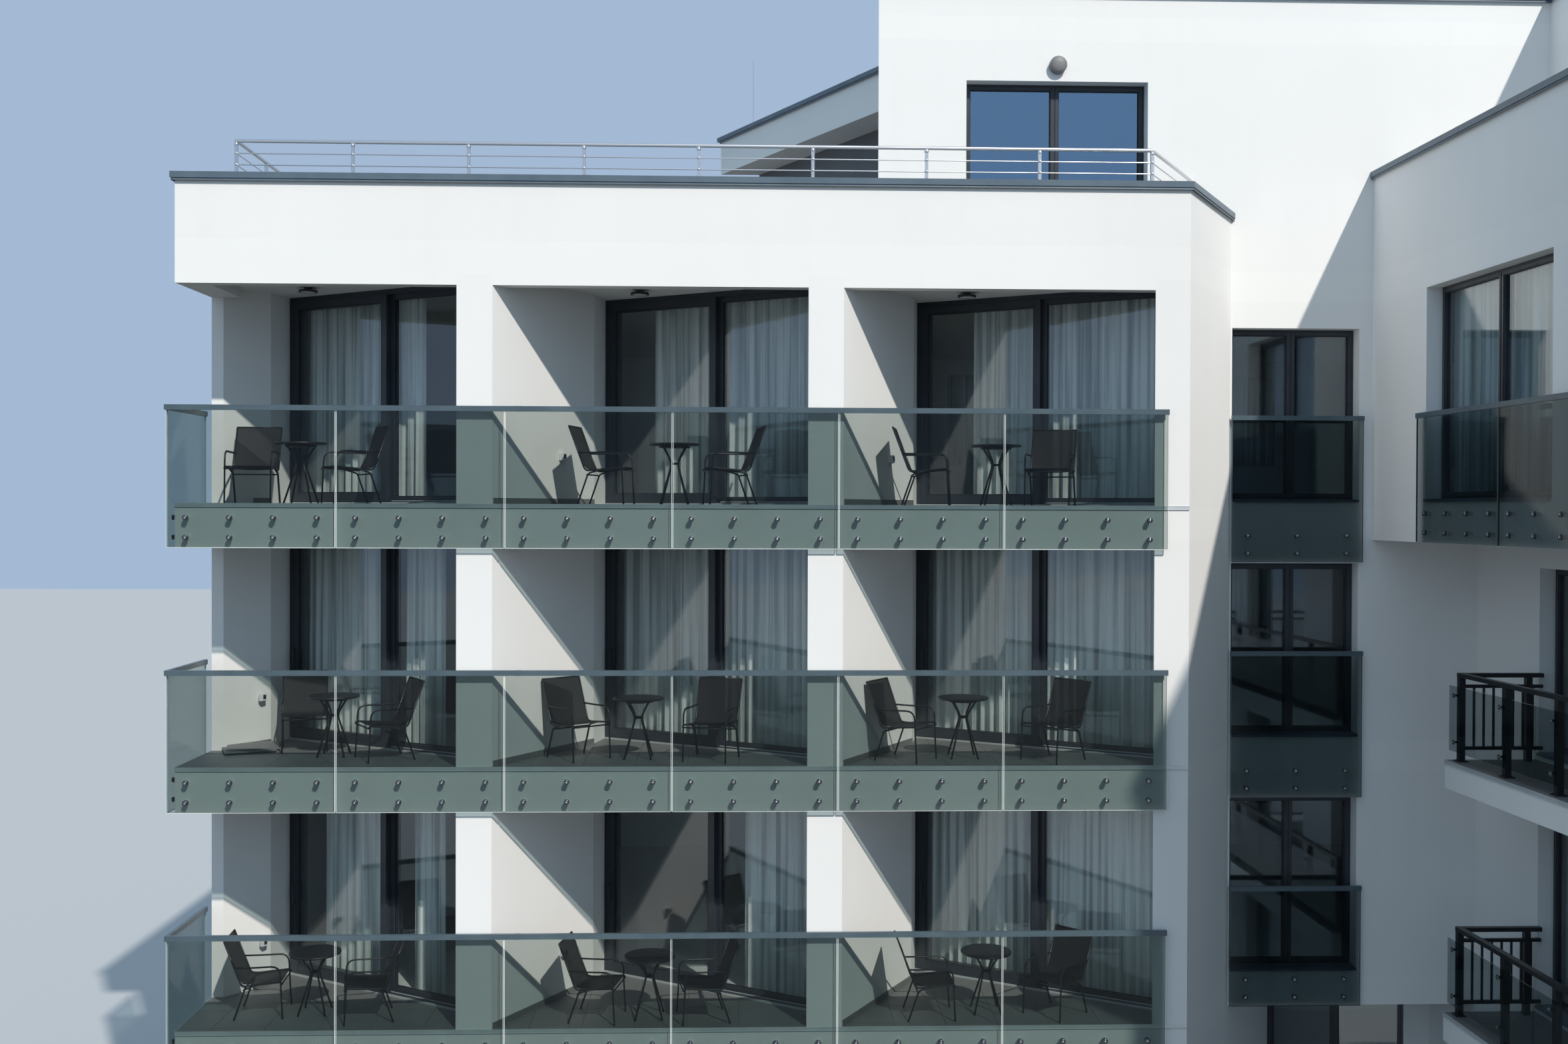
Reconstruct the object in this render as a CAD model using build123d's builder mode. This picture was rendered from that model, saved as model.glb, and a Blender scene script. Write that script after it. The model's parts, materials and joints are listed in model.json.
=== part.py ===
"""An apartment block with saw-tooth loggias, a roof terrace and a side wing.

Millimetres, +Z up, the front faces -Y. The origin lies at ground level, at the
middle of the front wing's plan.
"""

from math import cos, hypot, radians, sin, tan
import os

from build123d import *

# Storeys
storey_height = 3000
loggia_storeys = 4
plinth = 150
slab_thickness = 375
edge_drop = 125
edge_depth = 200
side_edge_depth = 350
upper_height = 2915
upper_slab_thickness = 300
wall = 300

# Front wing plan
bay_width = 4005
bay_count = 3
pier_width = 405
west_cut = 438
front_depth = 9820
west_setback = 1223
west_nose = 141

# Splayed walls and oblique doors
splay_angle = 30.3
door_angle = 32.0
splay_depth = 1712
nib_run = 100
nib_depth = 468
wall_behind_door = 200

# Inner corner and side wing plan
corner_depth = 1820
link_width = 2901
wing_inset = 1380
wing_terrace = 2277
wing_width = 7000
wing_reach = 7500
wing_edge_drop = 35

# Entrance recess at the inner corner
recess_depth = 4069
entrance_width = 1822

# Upper storey plan
tower_inset = 3447
notch_depth = 3808
band_angle = 28.2
band_overhang = 600

# Parapets and copings
parapet = 190
front_parapet_height = 680
wing_parapet_height = 1220
upper_parapet_height = 285
coping_height = 70
coping_overhang = 45
coping_inside = 20

# Sliding doors
door_depth = 150
door_track = 70
frame_face = 60
stile_face = 95
door_sill = 40
bottom_rail = 110
fixed_rail = 60
glass_thickness = 24

# Windows
window_reveal = 190
window_depth = 80
window_face = 75
mullion_face = 110
inner_window_start = 20
inner_window_width = 1642
window_sill_height = 100
window_head_height = 2290
wing_window_start = 1521
wing_window_width = 2799
wing_window_head = 2600
rear_window_count = 5
rear_window_width = 1600
rear_window_sill = 900
side_window_count = 4

# Terrace door
terrace_door_start = 1116
terrace_door_width = 2316
terrace_door_sill = 60
terrace_door_head = 2400

# Entrance screen
entrance_head = 2400

# Glass guards on point fixings
guard_standoff = 60
guard_glass = 17
guard_joint = 20
guard_overlap = 142
guard_top = 1060
balcony_guard_bottom = -490
inner_guard_top = 1110
inner_guard_bottom = -690
lowest_guard_bottom = -360
inner_guard_overlap = 38
wing_guard_bottom = -400
wing_guard_start = 1433
panels_per_level = 6
wing_panels = 4
fixing_rows = (110, 335)
fixing_radius = 25
fixing_margin = 205
fixings_per_row = 4
side_fixings_per_row = 3
handrail_height = 60
handrail_lap = 13

# Terrace railing
railing_in = 230
railing_side_in = 615
railing_corner_in = 391
railing_height = 1180
railing_tube = 42
railing_post = 36
railing_posts = 9
side_railing_posts = 8
railing_wires = (142, 273)
railing_wire = 14

# Wing balconies
balcony_depth = 1100
balcony_thickness = 320
balcony_start = 1465
balcony_end_gap = 83
balcony_rail_height = 1055
balcony_rail_width = 75
balcony_rail_thickness = 50
balcony_post = 70
balcony_post_in = 130
balcony_posts = 8
balcony_wall_post = 170
balcony_bar = 22
balcony_bars = 7
balcony_frame = 40
balcony_frame_low = 150
balcony_frame_high = 880
balcony_glass_low = 130
balcony_glass_high = 900
balcony_glass_gap = 35
balcony_bolt_in = 110
balcony_bolt_radius = 14

# Lamps and the lightning rod
lamp_radius = 110
lamp_neck_radius = 45
lamp_neck = 30
lamp_height = 25
lamp_along = 1597
lamp_in = 1210
wall_lamp_radius = 108
wall_lamp_depth = 70
wall_lamp_over_door = 195
rod_radius = 8
rod_height = 1150
rod_from_end = 770
rod_in = 150

# Furniture: a round table and two sling chairs on each front balcony
table_radius = 300
table_height = 720
table_top = 25
table_foot = 230
table_leg = 25
seat_width = 520
seat_depth = 450
seat_height = 430
seat_fall = 40
back_height = 930
back_lean = 190
arm_height = 640
foot_back = 90
sling = 12
tube = 25

# Where they stand, measured from a bay's start and the front, each chair with its turn
furniture = {
    (1, 0): [(1270, 650, 5), (1840, 640), (2470, 440, -166)],
    (1, 1): [(1210, 370, -10), (1780, 400), (2370, 340, -170)],
    (1, 2): [(1100, 400, 0), (1750, 510), (2530, 400, -137)],
    (2, 0): [(1550, 1250, -75), (2010, 820), (2630, 570, -150)],
    (2, 1): [(950, 600, -50), (1630, 600), (2480, 450, -107)],
    (2, 2): [(810, 430, -33), (1480, 610), (2490, 400, -139)],
    (3, 0): [(1050, 800, -85), (1640, 760), (2220, 620, -150)],
    (3, 1): [(1280, 650, -10), (2050, 600), (2660, 500, -170)],
    (3, 2): [(1070, 600, -10), (1860, 600), (2500, 590, -110)],
}

# Worked out
front_width = bay_count * bay_width - west_cut
west = -front_width / 2
east = front_width / 2
front = -front_depth / 2
rear = front_depth / 2
inner = front + corner_depth
splay = tan(radians(splay_angle))
corner_east = east + corner_depth * splay
wing_face = east + link_width
wing_lower = wing_face + wing_inset
wing_upper = wing_face + wing_terrace
wing_east = wing_face + wing_width
wing_front = front - wing_reach
clear_height = storey_height - slab_thickness
bay_starts = [east - (bay_count - bay) * bay_width for bay in range(bay_count)]
bay_opening = bay_width - pier_width
floors = [plinth + storey_height * level for level in range(loggia_storeys + 1)]
terrace = floors[-1]
upper_soffit = terrace + upper_height
upper_top = upper_soffit + upper_slab_thickness
tower_west = east - tower_inset
notch = (tower_west + (notch_depth - corner_depth) * splay, front + notch_depth)
band_end = (notch[0] - (front_depth - notch_depth) * tan(radians(band_angle)), rear)
door_along = (cos(radians(door_angle)), -sin(radians(door_angle)))
door_inward = (sin(radians(door_angle)), cos(radians(door_angle)))
door_start = (splay_depth * splay + nib_run, splay_depth + nib_depth)
door_reach = bay_opening + splay * door_start[1] - door_start[0]
door_play = door_depth * tan(radians(door_angle - splay_angle))
door_length = door_reach / (door_along[0] - splay * door_along[1]) - door_play
recess_end = (east + recess_depth * splay, front + recess_depth)
entrance_end = (
    recess_end[0] + entrance_width * door_along[0],
    recess_end[1] + entrance_width * door_along[1],
)

os.makedirs("parts", exist_ok=True)


def shifted(path, shift, closed=False):
    """The plan path moved to its left by shift, with mitred corners."""
    moved = []
    last = len(path) - 1
    for number, (x, y) in enumerate(path):
        before = path[number - 1] if number or closed else (x, y)
        after = path[(number + 1) % len(path)] if number < last or closed else (x, y)
        normals = []
        for start, end in ((before, (x, y)), ((x, y), after)):
            run, rise = end[0] - start[0], end[1] - start[1]
            if run or rise:
                normals.append((-rise / hypot(run, rise), run / hypot(run, rise)))
        across = sum(n[0] for n in normals), sum(n[1] for n in normals)
        reach = shift / (across[0] * normals[0][0] + across[1] * normals[0][1])
        moved.append((x + reach * across[0], y + reach * across[1]))
    return moved


def strip(path, left, right):
    """The plan outline between two lines beside a path."""
    return shifted(path, left) + shifted(path, right)[::-1]


def rectangle(low_x, high_x, low_y, high_y):
    """The four corners of a rectangle in plan."""
    return [(low_x, low_y), (high_x, low_y), (high_x, high_y), (low_x, high_y)]


def raise_outline(points, low, high, mode=Mode.ADD):
    """Stands a plan outline up from one height to another."""
    with BuildSketch(Plane.XY.offset(low)) as plan:
        with BuildLine():
            Polyline(*points, close=True)
        make_face()
    extrude(plan.sketch, amount=high - low, mode=mode)


def standing(point, angle, height):
    """A plane on a plan point, x along a wall that turns by angle, y up, facing outward."""
    along = cos(radians(angle)), sin(radians(angle))
    return Plane((point[0], point[1], height), (along[0], along[1], 0), (along[1], -along[0], 0))


def stand_panes(plane, panes, low, high, nearest, farthest, mode=Mode.ADD):
    """Upright rectangles side by side, between two depths behind a standing plane."""
    with BuildSketch(plane.offset(-nearest)) as face:
        for start, end in panes:
            with Locations(((start + end) / 2, (low + high) / 2)):
                Rectangle(end - start, high - low)
    extrude(face.sketch, amount=nearest - farthest, mode=mode)


def stand_rods(plane, places, radius, nearest, farthest):
    """Round rods square to a standing plane, between two depths behind it."""
    with BuildSketch(plane.offset(-nearest)) as face:
        with Locations(*places):
            Circle(radius)
    extrude(face.sketch, amount=nearest - farthest)


def save(piece, name):
    """Labels a finished piece and writes it out."""
    piece.label = name
    export_step(piece, f"parts/{name}.step")


def floor_bottom(level):
    """The underside of a floor slab."""
    return floors[level] - slab_thickness if level else 0


def wing_edge(level):
    """The west face of the side wing: stands out under the terrace, set back above it."""
    if level == loggia_storeys:
        return wing_upper
    return wing_face if level == loggia_storeys - 1 else wing_lower


def wall_top(level):
    """The top of a storey's walls."""
    return upper_soffit if level == loggia_storeys else floors[level] + clear_height


def door_corner(start):
    """Where the oblique door of a bay begins, in plan."""
    return start + door_start[0], front + door_start[1]


# Floor slabs of the front wing, each with a drop edge over the loggias below
front_plan = [(west, front), (east, front), (corner_east, inner), (corner_east, rear), (west, rear)]
lean = edge_depth * splay
drop_edges = []
for start in bay_starts[1:]:
    end = start + bay_opening
    back_line = [(end + lean, front + edge_depth), (start + lean, front + edge_depth)]
    drop_edges.append([(start, front), (end, front)] + back_line)
end = bay_starts[0] + bay_opening
side_line = west + side_edge_depth
west_edge = [(west, front), (end, front), (end + lean, front + edge_depth)]
west_edge += [(side_line, front + edge_depth), (side_line, front + west_setback)]
west_edge += [(west, front + west_setback)]
drop_edges.append(west_edge)

for level, top in enumerate(floors):
    with BuildPart() as front_floor:
        raise_outline(front_plan, floor_bottom(level), top)
        if level:
            for edge in drop_edges:
                raise_outline(edge, floor_bottom(level) - edge_drop, floor_bottom(level))
    if level == 0:
        save(front_floor.part, "ground_floor")
    elif level == loggia_storeys:
        save(front_floor.part, "terrace_deck")
    else:
        save(front_floor.part, f"front_floor_{level}")

# Floors of the link and of the side wing, one solid a storey
with BuildPart() as link_floors:
    for level, top in enumerate(floors):
        edge = wing_face if level >= loggia_storeys - 1 else wing_lower
        raise_outline(rectangle(corner_east, edge, inner, rear), floor_bottom(level), top)
save(link_floors.part, "link_floors")

with BuildPart() as wing_floors:
    for level, top in enumerate(floors):
        edge = wing_face if level >= loggia_storeys - 1 else wing_lower
        raise_outline(rectangle(edge, wing_east, wing_front, rear), floor_bottom(level), top)
    edge_plan = rectangle(wing_face, wing_face + edge_depth, wing_front, inner)
    box_bottom = floor_bottom(loggia_storeys - 1)
    raise_outline(edge_plan, box_bottom - wing_edge_drop, box_bottom)
save(wing_floors.part, "wing_floors")

# Roof over the set-back upper storey
tower_roof_plan = [(tower_west, inner), (wing_upper, inner), (wing_upper, rear), band_end, notch]
wing_roof_plan = rectangle(wing_upper, wing_east, wing_front, rear)
with BuildPart() as tower_roof:
    raise_outline(tower_roof_plan, upper_soffit, upper_top)
save(tower_roof.part, "tower_roof")
with BuildPart() as wing_roof:
    raise_outline(wing_roof_plan, upper_soffit, upper_top)
save(wing_roof.part, "wing_roof")

# Splayed walls between the loggias, one solid a storey
splay_end = splay_depth * splay
with BuildPart() as party_walls:
    for level in range(loggia_storeys):
        for start in bay_starts[1:]:
            corner = door_corner(start)
            back = (
                corner[0] + wall_behind_door * door_inward[0],
                corner[1] + wall_behind_door * door_inward[1],
            )
            outline = [(start - pier_width, front), (start, front)]
            outline += [(start + splay_end, front + splay_depth), corner, back]
            outline += [(start - pier_width + (back[1] - front) * splay, back[1])]
            raise_outline(outline, floors[level], wall_top(level))
save(party_walls.part, "party_walls")

with BuildPart() as corner_walls:
    for level in range(loggia_storeys):
        outline = [(east - pier_width, front), (east, front), (corner_east, inner)]
        outline += [(corner_east - pier_width, inner)]
        raise_outline(outline, floors[level], wall_top(level))
save(corner_walls.part, "corner_walls")

# West wall with its splayed front end
with BuildPart() as west_wall:
    for level in range(loggia_storeys):
        start = bay_starts[0]
        corner = door_corner(start)
        back = (
            corner[0] + wall_behind_door * door_inward[0],
            corner[1] + wall_behind_door * door_inward[1],
        )
        outline = [(west, front + west_setback), (west + west_nose, front + west_setback)]
        outline += [(start + splay_end, front + splay_depth), corner, back]
        outline += [(west + wall, back[1]), (west + wall, rear), (west, rear)]
        raise_outline(outline, floors[level], wall_top(level))
save(west_wall.part, "west_wall")

# Walls of the inner corner, with a tall window a storey
inner_window = (inner_window_start, inner_window_start + inner_window_width)
inner_planes = [standing((corner_east, inner), 0, floors[level]) for level in range(1, loggia_storeys)]
with BuildPart() as inner_walls:
    for level in range(1, loggia_storeys):
        plan = rectangle(corner_east - pier_width, wing_edge(level) + wall, inner, inner + wall)
        raise_outline(plan, floors[level], wall_top(level))
    for plane in inner_planes:
        stand_panes(
            plane, [inner_window], window_sill_height, window_head_height, 0, wall, Mode.SUBTRACT
        )
save(inner_walls.part, "inner_walls")

# Ground-floor walls round the entrance recess, meeting the screen along its two ends
screen_back = (window_depth * door_inward[0], window_depth * door_inward[1])
left_end = (recess_end[0] + screen_back[0], recess_end[1] + screen_back[1])
right_end = (entrance_end[0] + screen_back[0], entrance_end[1] + screen_back[1])
with BuildPart() as entrance_walls:
    outline = [(corner_east - pier_width, inner), (corner_east, inner), recess_end, left_end]
    outline += [(left_end[0] - pier_width, left_end[1])]
    raise_outline(outline, floors[0], wall_top(0))
    outline = [entrance_end, (wing_lower, entrance_end[1]), (wing_lower, entrance_end[1] + wall)]
    outline += [(right_end[0], entrance_end[1] + wall), right_end]
    raise_outline(outline, floors[0], wall_top(0))
save(entrance_walls.part, "entrance_walls")

# Side wing walls, with their windows
all_storeys = range(loggia_storeys + 1)
wing_ends = [entrance_end[1] + wall] + [inner] * loggia_storeys
wing_windows = [
    (wing_window_start + bay * bay_width, wing_window_start + bay * bay_width + wing_window_width)
    for bay in range(2)
]
wing_planes = [
    standing((wing_edge(level), inner), -90, floors[level]) for level in all_storeys
]


def wing_head(level):
    """The window head height above a floor of the side wing."""
    return wing_window_head if level == loggia_storeys - 1 else window_head_height


with BuildPart() as wing_walls:
    for level in all_storeys:
        edge = wing_edge(level)
        plan = rectangle(edge, edge + wall, wing_front + wall, wing_ends[level])
        raise_outline(plan, floors[level], wall_top(level))
        stand_panes(
            wing_planes[level],
            wing_windows,
            window_sill_height,
            wing_head(level),
            0,
            wall,
            Mode.SUBTRACT,
        )
save(wing_walls.part, "wing_walls")

with BuildPart() as wing_end_walls:
    for level in all_storeys:
        plan = rectangle(wing_edge(level), wing_east - wall, wing_front, wing_front + wall)
        raise_outline(plan, floors[level], wall_top(level))
save(wing_end_walls.part, "wing_end_walls")

# East wall of the side wing
side_pitch = (rear - wall - wing_front) / side_window_count
side_centres = [(place + 0.5) * side_pitch for place in range(side_window_count)]
side_panes = [(x - rear_window_width / 2, x + rear_window_width / 2) for x in side_centres]
side_planes = [standing((wing_east, wing_front), 90, floors[level]) for level in all_storeys]
with BuildPart() as east_walls:
    for level, plane in enumerate(side_planes):
        plan = rectangle(wing_east - wall, wing_east, wing_front, rear - wall)
        raise_outline(plan, floors[level], wall_top(level))
        stand_panes(plane, side_panes, rear_window_sill, window_head_height, 0, wall, Mode.SUBTRACT)
save(east_walls.part, "east_walls")

# Walls of the set-back upper storey
band_reach = band_overhang / sin(radians(splay_angle + band_angle))
band_corner = (
    notch[0] + band_reach * sin(radians(splay_angle)),
    notch[1] + band_reach * cos(radians(splay_angle)),
)
band_slope = tan(radians(band_angle))
band_rear = (band_corner[0] - (rear - band_corner[1]) * band_slope, rear)
tower_bend = (tower_west + wall * splay, inner + wall)
inner_bend = shifted([band_rear, band_corner, tower_bend], wall)[1]
band_inside = (band_rear[0] + wall / cos(radians(band_angle)), rear)
terrace_plane = standing((tower_west, inner), 0, terrace)
terrace_pane = (terrace_door_start, terrace_door_start + terrace_door_width)

with BuildPart() as tower_front_wall:
    outline = [(tower_west, inner), (wing_upper + wall, inner)]
    outline += [(wing_upper + wall, inner + wall), tower_bend]
    raise_outline(outline, terrace, upper_soffit)
    stand_panes(
        terrace_plane, [terrace_pane], terrace_door_sill, terrace_door_head, 0, wall, Mode.SUBTRACT
    )
save(tower_front_wall.part, "tower_front_wall")

with BuildPart() as tower_side_wall:
    outline = [tower_bend, (tower_bend[0] + wall / cos(radians(splay_angle)), tower_bend[1])]
    outline += [inner_bend, band_corner]
    raise_outline(outline, terrace, upper_soffit)
save(tower_side_wall.part, "tower_side_wall")

with BuildPart() as grey_wall:
    raise_outline([band_rear, band_corner, inner_bend, band_inside], terrace, upper_soffit)
save(grey_wall.part, "grey_wall")

# Rear walls, the upper one shorter
rear_pitch = (wing_east - west - wall) / rear_window_count
rear_centres = [(place + 0.5) * rear_pitch for place in range(rear_window_count)]
rear_panes = [(x - rear_window_width / 2, x + rear_window_width / 2) for x in rear_centres]
upper_panes = [pane for pane in rear_panes if wing_east - pane[1] > band_inside[0] + wall]
rear_planes = [standing((wing_east, rear), 180, floors[level]) for level in all_storeys]
with BuildPart() as rear_walls:
    for level, plane in enumerate(rear_planes):
        if level == loggia_storeys:
            outline = [band_inside, (wing_east, rear), (wing_east, rear - wall)]
            outline += [(band_inside[0] + wall * band_slope, rear - wall)]
        else:
            outline = rectangle(west + wall, wing_east, rear - wall, rear)
        raise_outline(outline, floors[level], wall_top(level))
        panes = upper_panes if level == loggia_storeys else rear_panes
        stand_panes(plane, panes, rear_window_sill, window_head_height, 0, wall, Mode.SUBTRACT)
save(rear_walls.part, "rear_walls")

# Every window: its plane, its sides, its sill and its head
windows = []
for plane in inner_planes:
    windows.append((plane, inner_window, window_sill_height, window_head_height))
for level, plane in enumerate(wing_planes):
    for pane in wing_windows:
        windows.append((plane, pane, window_sill_height, wing_head(level)))
for level, plane in enumerate(rear_planes):
    for pane in upper_panes if level == loggia_storeys else rear_panes:
        windows.append((plane, pane, rear_window_sill, window_head_height))
for plane in side_planes:
    for pane in side_panes:
        windows.append((plane, pane, rear_window_sill, window_head_height))
windows.append((terrace_plane, terrace_pane, terrace_door_sill, terrace_door_head))


def sashes(sides):
    """The two glazed widths of a window between its jambs and its mullion."""
    middle = (sides[0] + sides[1]) / 2
    left = (sides[0] + window_face, middle - mullion_face / 2)
    return [left, (middle + mullion_face / 2, sides[1] - window_face)]


window_back = window_reveal + window_depth
glass_front = window_reveal + (window_depth - glass_thickness) / 2
with BuildPart() as window_frames:
    for plane, sides, sill, head in windows:
        stand_panes(plane, [sides], sill, head, window_reveal, window_back)
    for plane, sides, sill, head in windows:
        low, high = sill + window_face, head - window_face
        stand_panes(plane, sashes(sides), low, high, window_reveal, window_back, Mode.SUBTRACT)
save(window_frames.part, "window_frames")

with BuildPart() as window_glass:
    for plane, sides, sill, head in windows:
        low, high = sill + window_face, head - window_face
        stand_panes(plane, sashes(sides), low, high, glass_front, glass_front + glass_thickness)
save(window_glass.part, "window_glass")

# Oblique sliding doors: a fixed frame, a leaf in the front track and a pane behind it
door_planes = [
    standing(door_corner(start), -door_angle, floors[level])
    for level in range(loggia_storeys)
    for start in bay_starts
]
middle = door_length / 2
leaf_pane = (frame_face + stile_face, middle - stile_face / 2)
leaf_low, leaf_high = door_sill + bottom_rail, clear_height - frame_face - stile_face
back_leaf = (middle + stile_face / 2, door_length - frame_face)
back_pane = (back_leaf[0] + fixed_rail, back_leaf[1] - fixed_rail)
back_low, back_high = door_sill + fixed_rail, clear_height - frame_face - fixed_rail
with BuildPart() as sliding_doors:
    for plane in door_planes:
        stand_panes(plane, [(0, door_length)], 0, clear_height, 0, door_depth)
        stand_panes(plane, [leaf_pane], leaf_low, leaf_high, 0, door_depth, Mode.SUBTRACT)
        high = clear_height - frame_face
        stand_panes(plane, [back_leaf], door_sill, high, 0, door_track, Mode.SUBTRACT)
        stand_panes(plane, [back_pane], back_low, back_high, 0, door_depth, Mode.SUBTRACT)
save(sliding_doors.part, "sliding_doors")

with BuildPart() as sliding_door_glass:
    for plane in door_planes:
        deep = (door_track - glass_thickness) / 2
        stand_panes(plane, [leaf_pane], leaf_low, leaf_high, deep, deep + glass_thickness)
        deep = (door_track + door_depth - glass_thickness) / 2
        stand_panes(plane, [back_pane], back_low, back_high, deep, deep + glass_thickness)
save(sliding_door_glass.part, "sliding_door_glass")

# Entrance screen: two door leaves under a transom light
entrance_plane = standing(recess_end, -door_angle, floors[0])
entrance_panes = sashes((0, entrance_width))
light_low = entrance_head + window_face
light_high = clear_height - window_face
with BuildPart() as entrance_screen:
    stand_panes(entrance_plane, [(0, entrance_width)], 0, clear_height, 0, window_depth)
    for low, high in ((window_face, entrance_head), (light_low, light_high)):
        stand_panes(entrance_plane, entrance_panes, low, high, 0, window_depth, Mode.SUBTRACT)
save(entrance_screen.part, "entrance_screen")

with BuildPart() as entrance_glass:
    deep = (window_depth - glass_thickness) / 2
    for low, high in ((window_face, entrance_head), (light_low, light_high)):
        stand_panes(entrance_plane, entrance_panes, low, high, deep, deep + glass_thickness)
save(entrance_glass.part, "entrance_glass")


def guard_panes(start, end, count):
    """Glass widths side by side along a guard, with open joints between them."""
    pitch = (end - start) / count
    gap = guard_joint / 2
    return [(start + n * pitch + gap, start + (n + 1) * pitch - gap) for n in range(count)]


def guard_fixings(panes, low, per_row):
    """Where the point fixings of a guard's panes stand."""
    places = []
    for left, right in panes:
        step = (right - left - 2 * fixing_margin) / (per_row - 1)
        for number in range(per_row):
            places += [(left + fixing_margin + number * step, low + row) for row in fixing_rows]
    return places


# Glass guards of the loggias: panels along the front and one round the west end
guard_end = bay_starts[-1] + bay_opening + guard_overlap
guard_face = guard_standoff + guard_glass
front_panes = guard_panes(-guard_face, guard_end - west, panels_per_level)
west_panes = [(guard_joint, west_setback + guard_standoff - guard_joint)]
guard_levels = range(1, loggia_storeys)
front_guards = [standing((west, front), 0, floors[level]) for level in guard_levels]
west_guards = [standing((west, front + west_setback), -90, floors[level]) for level in guard_levels]
low = balcony_guard_bottom
with BuildPart() as balcony_glass:
    for plane in front_guards:
        stand_panes(plane, front_panes, low, guard_top, -guard_face, -guard_standoff)
    for plane in west_guards:
        stand_panes(plane, west_panes, low, guard_top, -guard_face, -guard_standoff)
save(balcony_glass.part, "balcony_glass")

with BuildPart() as balcony_fixings:
    for plane in front_guards:
        places = guard_fixings(front_panes, low, fixings_per_row)
        stand_rods(plane, places, fixing_radius, -guard_standoff, 0)
    for plane in west_guards:
        places = guard_fixings(west_panes, low, side_fixings_per_row)
        stand_rods(plane, places, fixing_radius, -guard_standoff, 0)
save(balcony_fixings.part, "balcony_fixings")

near_rail, far_rail = -(guard_standoff - handrail_lap), -(guard_face + handrail_lap)
with BuildPart() as balcony_handrails:
    for level in guard_levels:
        path = [(west, front + west_setback), (west, front), (guard_end, front)]
        rail_low = floors[level] + guard_top
        raise_outline(strip(path, near_rail, far_rail), rail_low, rail_low + handrail_height)
save(balcony_handrails.part, "balcony_handrails")

# Glass guards of the inner windows and of the side wing's top loggia
corner_guard_end = inner_window[1] + inner_guard_overlap
wing_guard_end = corner_depth + wing_reach - balcony_end_gap
corner_panes = guard_panes(0, corner_guard_end, 1)
wing_panes = guard_panes(wing_guard_start, wing_guard_end, wing_panels)
corner_guards = []
for level, plane in zip(guard_levels, inner_planes):
    bottom = lowest_guard_bottom if level == 1 else inner_guard_bottom
    corner_guards.append((plane, bottom))
wing_plane = wing_planes[loggia_storeys - 1]
with BuildPart() as window_guard_glass:
    for plane, bottom in corner_guards:
        stand_panes(plane, corner_panes, bottom, inner_guard_top, -guard_face, -guard_standoff)
    stand_panes(
        wing_plane, wing_panes, wing_guard_bottom, guard_top, -guard_face, -guard_standoff
    )
save(window_guard_glass.part, "window_guard_glass")

with BuildPart() as window_guard_fixings:
    for plane, bottom in corner_guards:
        places = guard_fixings(corner_panes, bottom, side_fixings_per_row)
        stand_rods(plane, places, fixing_radius, -guard_standoff, 0)
    places = guard_fixings(wing_panes, wing_guard_bottom, fixings_per_row)
    stand_rods(wing_plane, places, fixing_radius, -guard_standoff, 0)
save(window_guard_fixings.part, "window_guard_fixings")

with BuildPart() as window_guard_rails:
    for plane, bottom in corner_guards:
        rail_high = inner_guard_top + handrail_height
        stand_panes(plane, [(0, corner_guard_end)], inner_guard_top, rail_high, far_rail, near_rail)
    rail_high = guard_top + handrail_height
    sides = [(wing_guard_start, wing_guard_end)]
    stand_panes(wing_plane, sides, guard_top, rail_high, far_rail, near_rail)
save(window_guard_rails.part, "window_guard_rails")

# Side wing balconies with steel railings and glass in front of their posts
balcony_edge = wing_lower - balcony_depth
balcony_near, balcony_far = wing_front + balcony_end_gap, inner - balcony_start
rail_line = balcony_edge + balcony_post_in
rail_near, rail_far = balcony_near + balcony_post_in, balcony_far - balcony_post_in
post_pitch = (rail_far - rail_near) / (balcony_posts - 1)
with BuildPart() as wing_balconies:
    for level in (1, 2):
        plan = rectangle(balcony_edge, wing_lower, balcony_near, balcony_far)
        raise_outline(plan, floors[level] - balcony_thickness, floors[level])
save(wing_balconies.part, "wing_balconies")

half = balcony_post / 2
rail_path = [(wing_lower, rail_far), (rail_line, rail_far)]
rail_path += [(rail_line, rail_near), (wing_lower, rail_near)]
bar_pitch = (wing_lower - rail_line - half) / (balcony_bars + 1)
wall_post = wing_lower - balcony_wall_post
frame, thin = balcony_frame / 2, balcony_bar / 2
glass_bolts = []
for number in range(balcony_posts):
    along = balcony_start + balcony_post_in + number * post_pitch
    glass_bolts += [(along, balcony_glass_low + balcony_bolt_in)]
    glass_bolts += [(along, balcony_glass_high - balcony_bolt_in)]
with BuildPart() as wing_railings:
    for level in (1, 2):
        floor = floors[level]
        rail_low = floor + balcony_rail_height - balcony_rail_thickness
        rail_plan = strip(rail_path, balcony_rail_width / 2, -balcony_rail_width / 2)
        raise_outline(rail_plan, rail_low, floor + balcony_rail_height)
        for number in range(balcony_posts):
            y = rail_near + number * post_pitch
            plan = rectangle(rail_line - half, rail_line + half, y - half, y + half)
            raise_outline(plan, floor, rail_low)
        bars_low = floor + balcony_frame_low + balcony_frame
        bars_high = floor + balcony_frame_high
        for y in (rail_near, rail_far):
            plan = rectangle(wall_post - half, wall_post + half, y - half, y + half)
            raise_outline(plan, floor, rail_low)
            plan = rectangle(rail_line + half, wing_lower, y - frame, y + frame)
            raise_outline(plan, bars_low - balcony_frame, bars_low)
            raise_outline(plan, bars_high, bars_high + balcony_frame)
            for number in range(balcony_bars):
                x = rail_line + half + (number + 1) * bar_pitch
                plan = rectangle(x - thin, x + thin, y - thin, y + thin)
                raise_outline(plan, bars_low, bars_high)
        plane = standing((rail_line - half, inner), -90, floor)
        stand_rods(plane, glass_bolts, balcony_bolt_radius, -balcony_glass_gap, 0)
save(wing_railings.part, "wing_railings")

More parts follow.
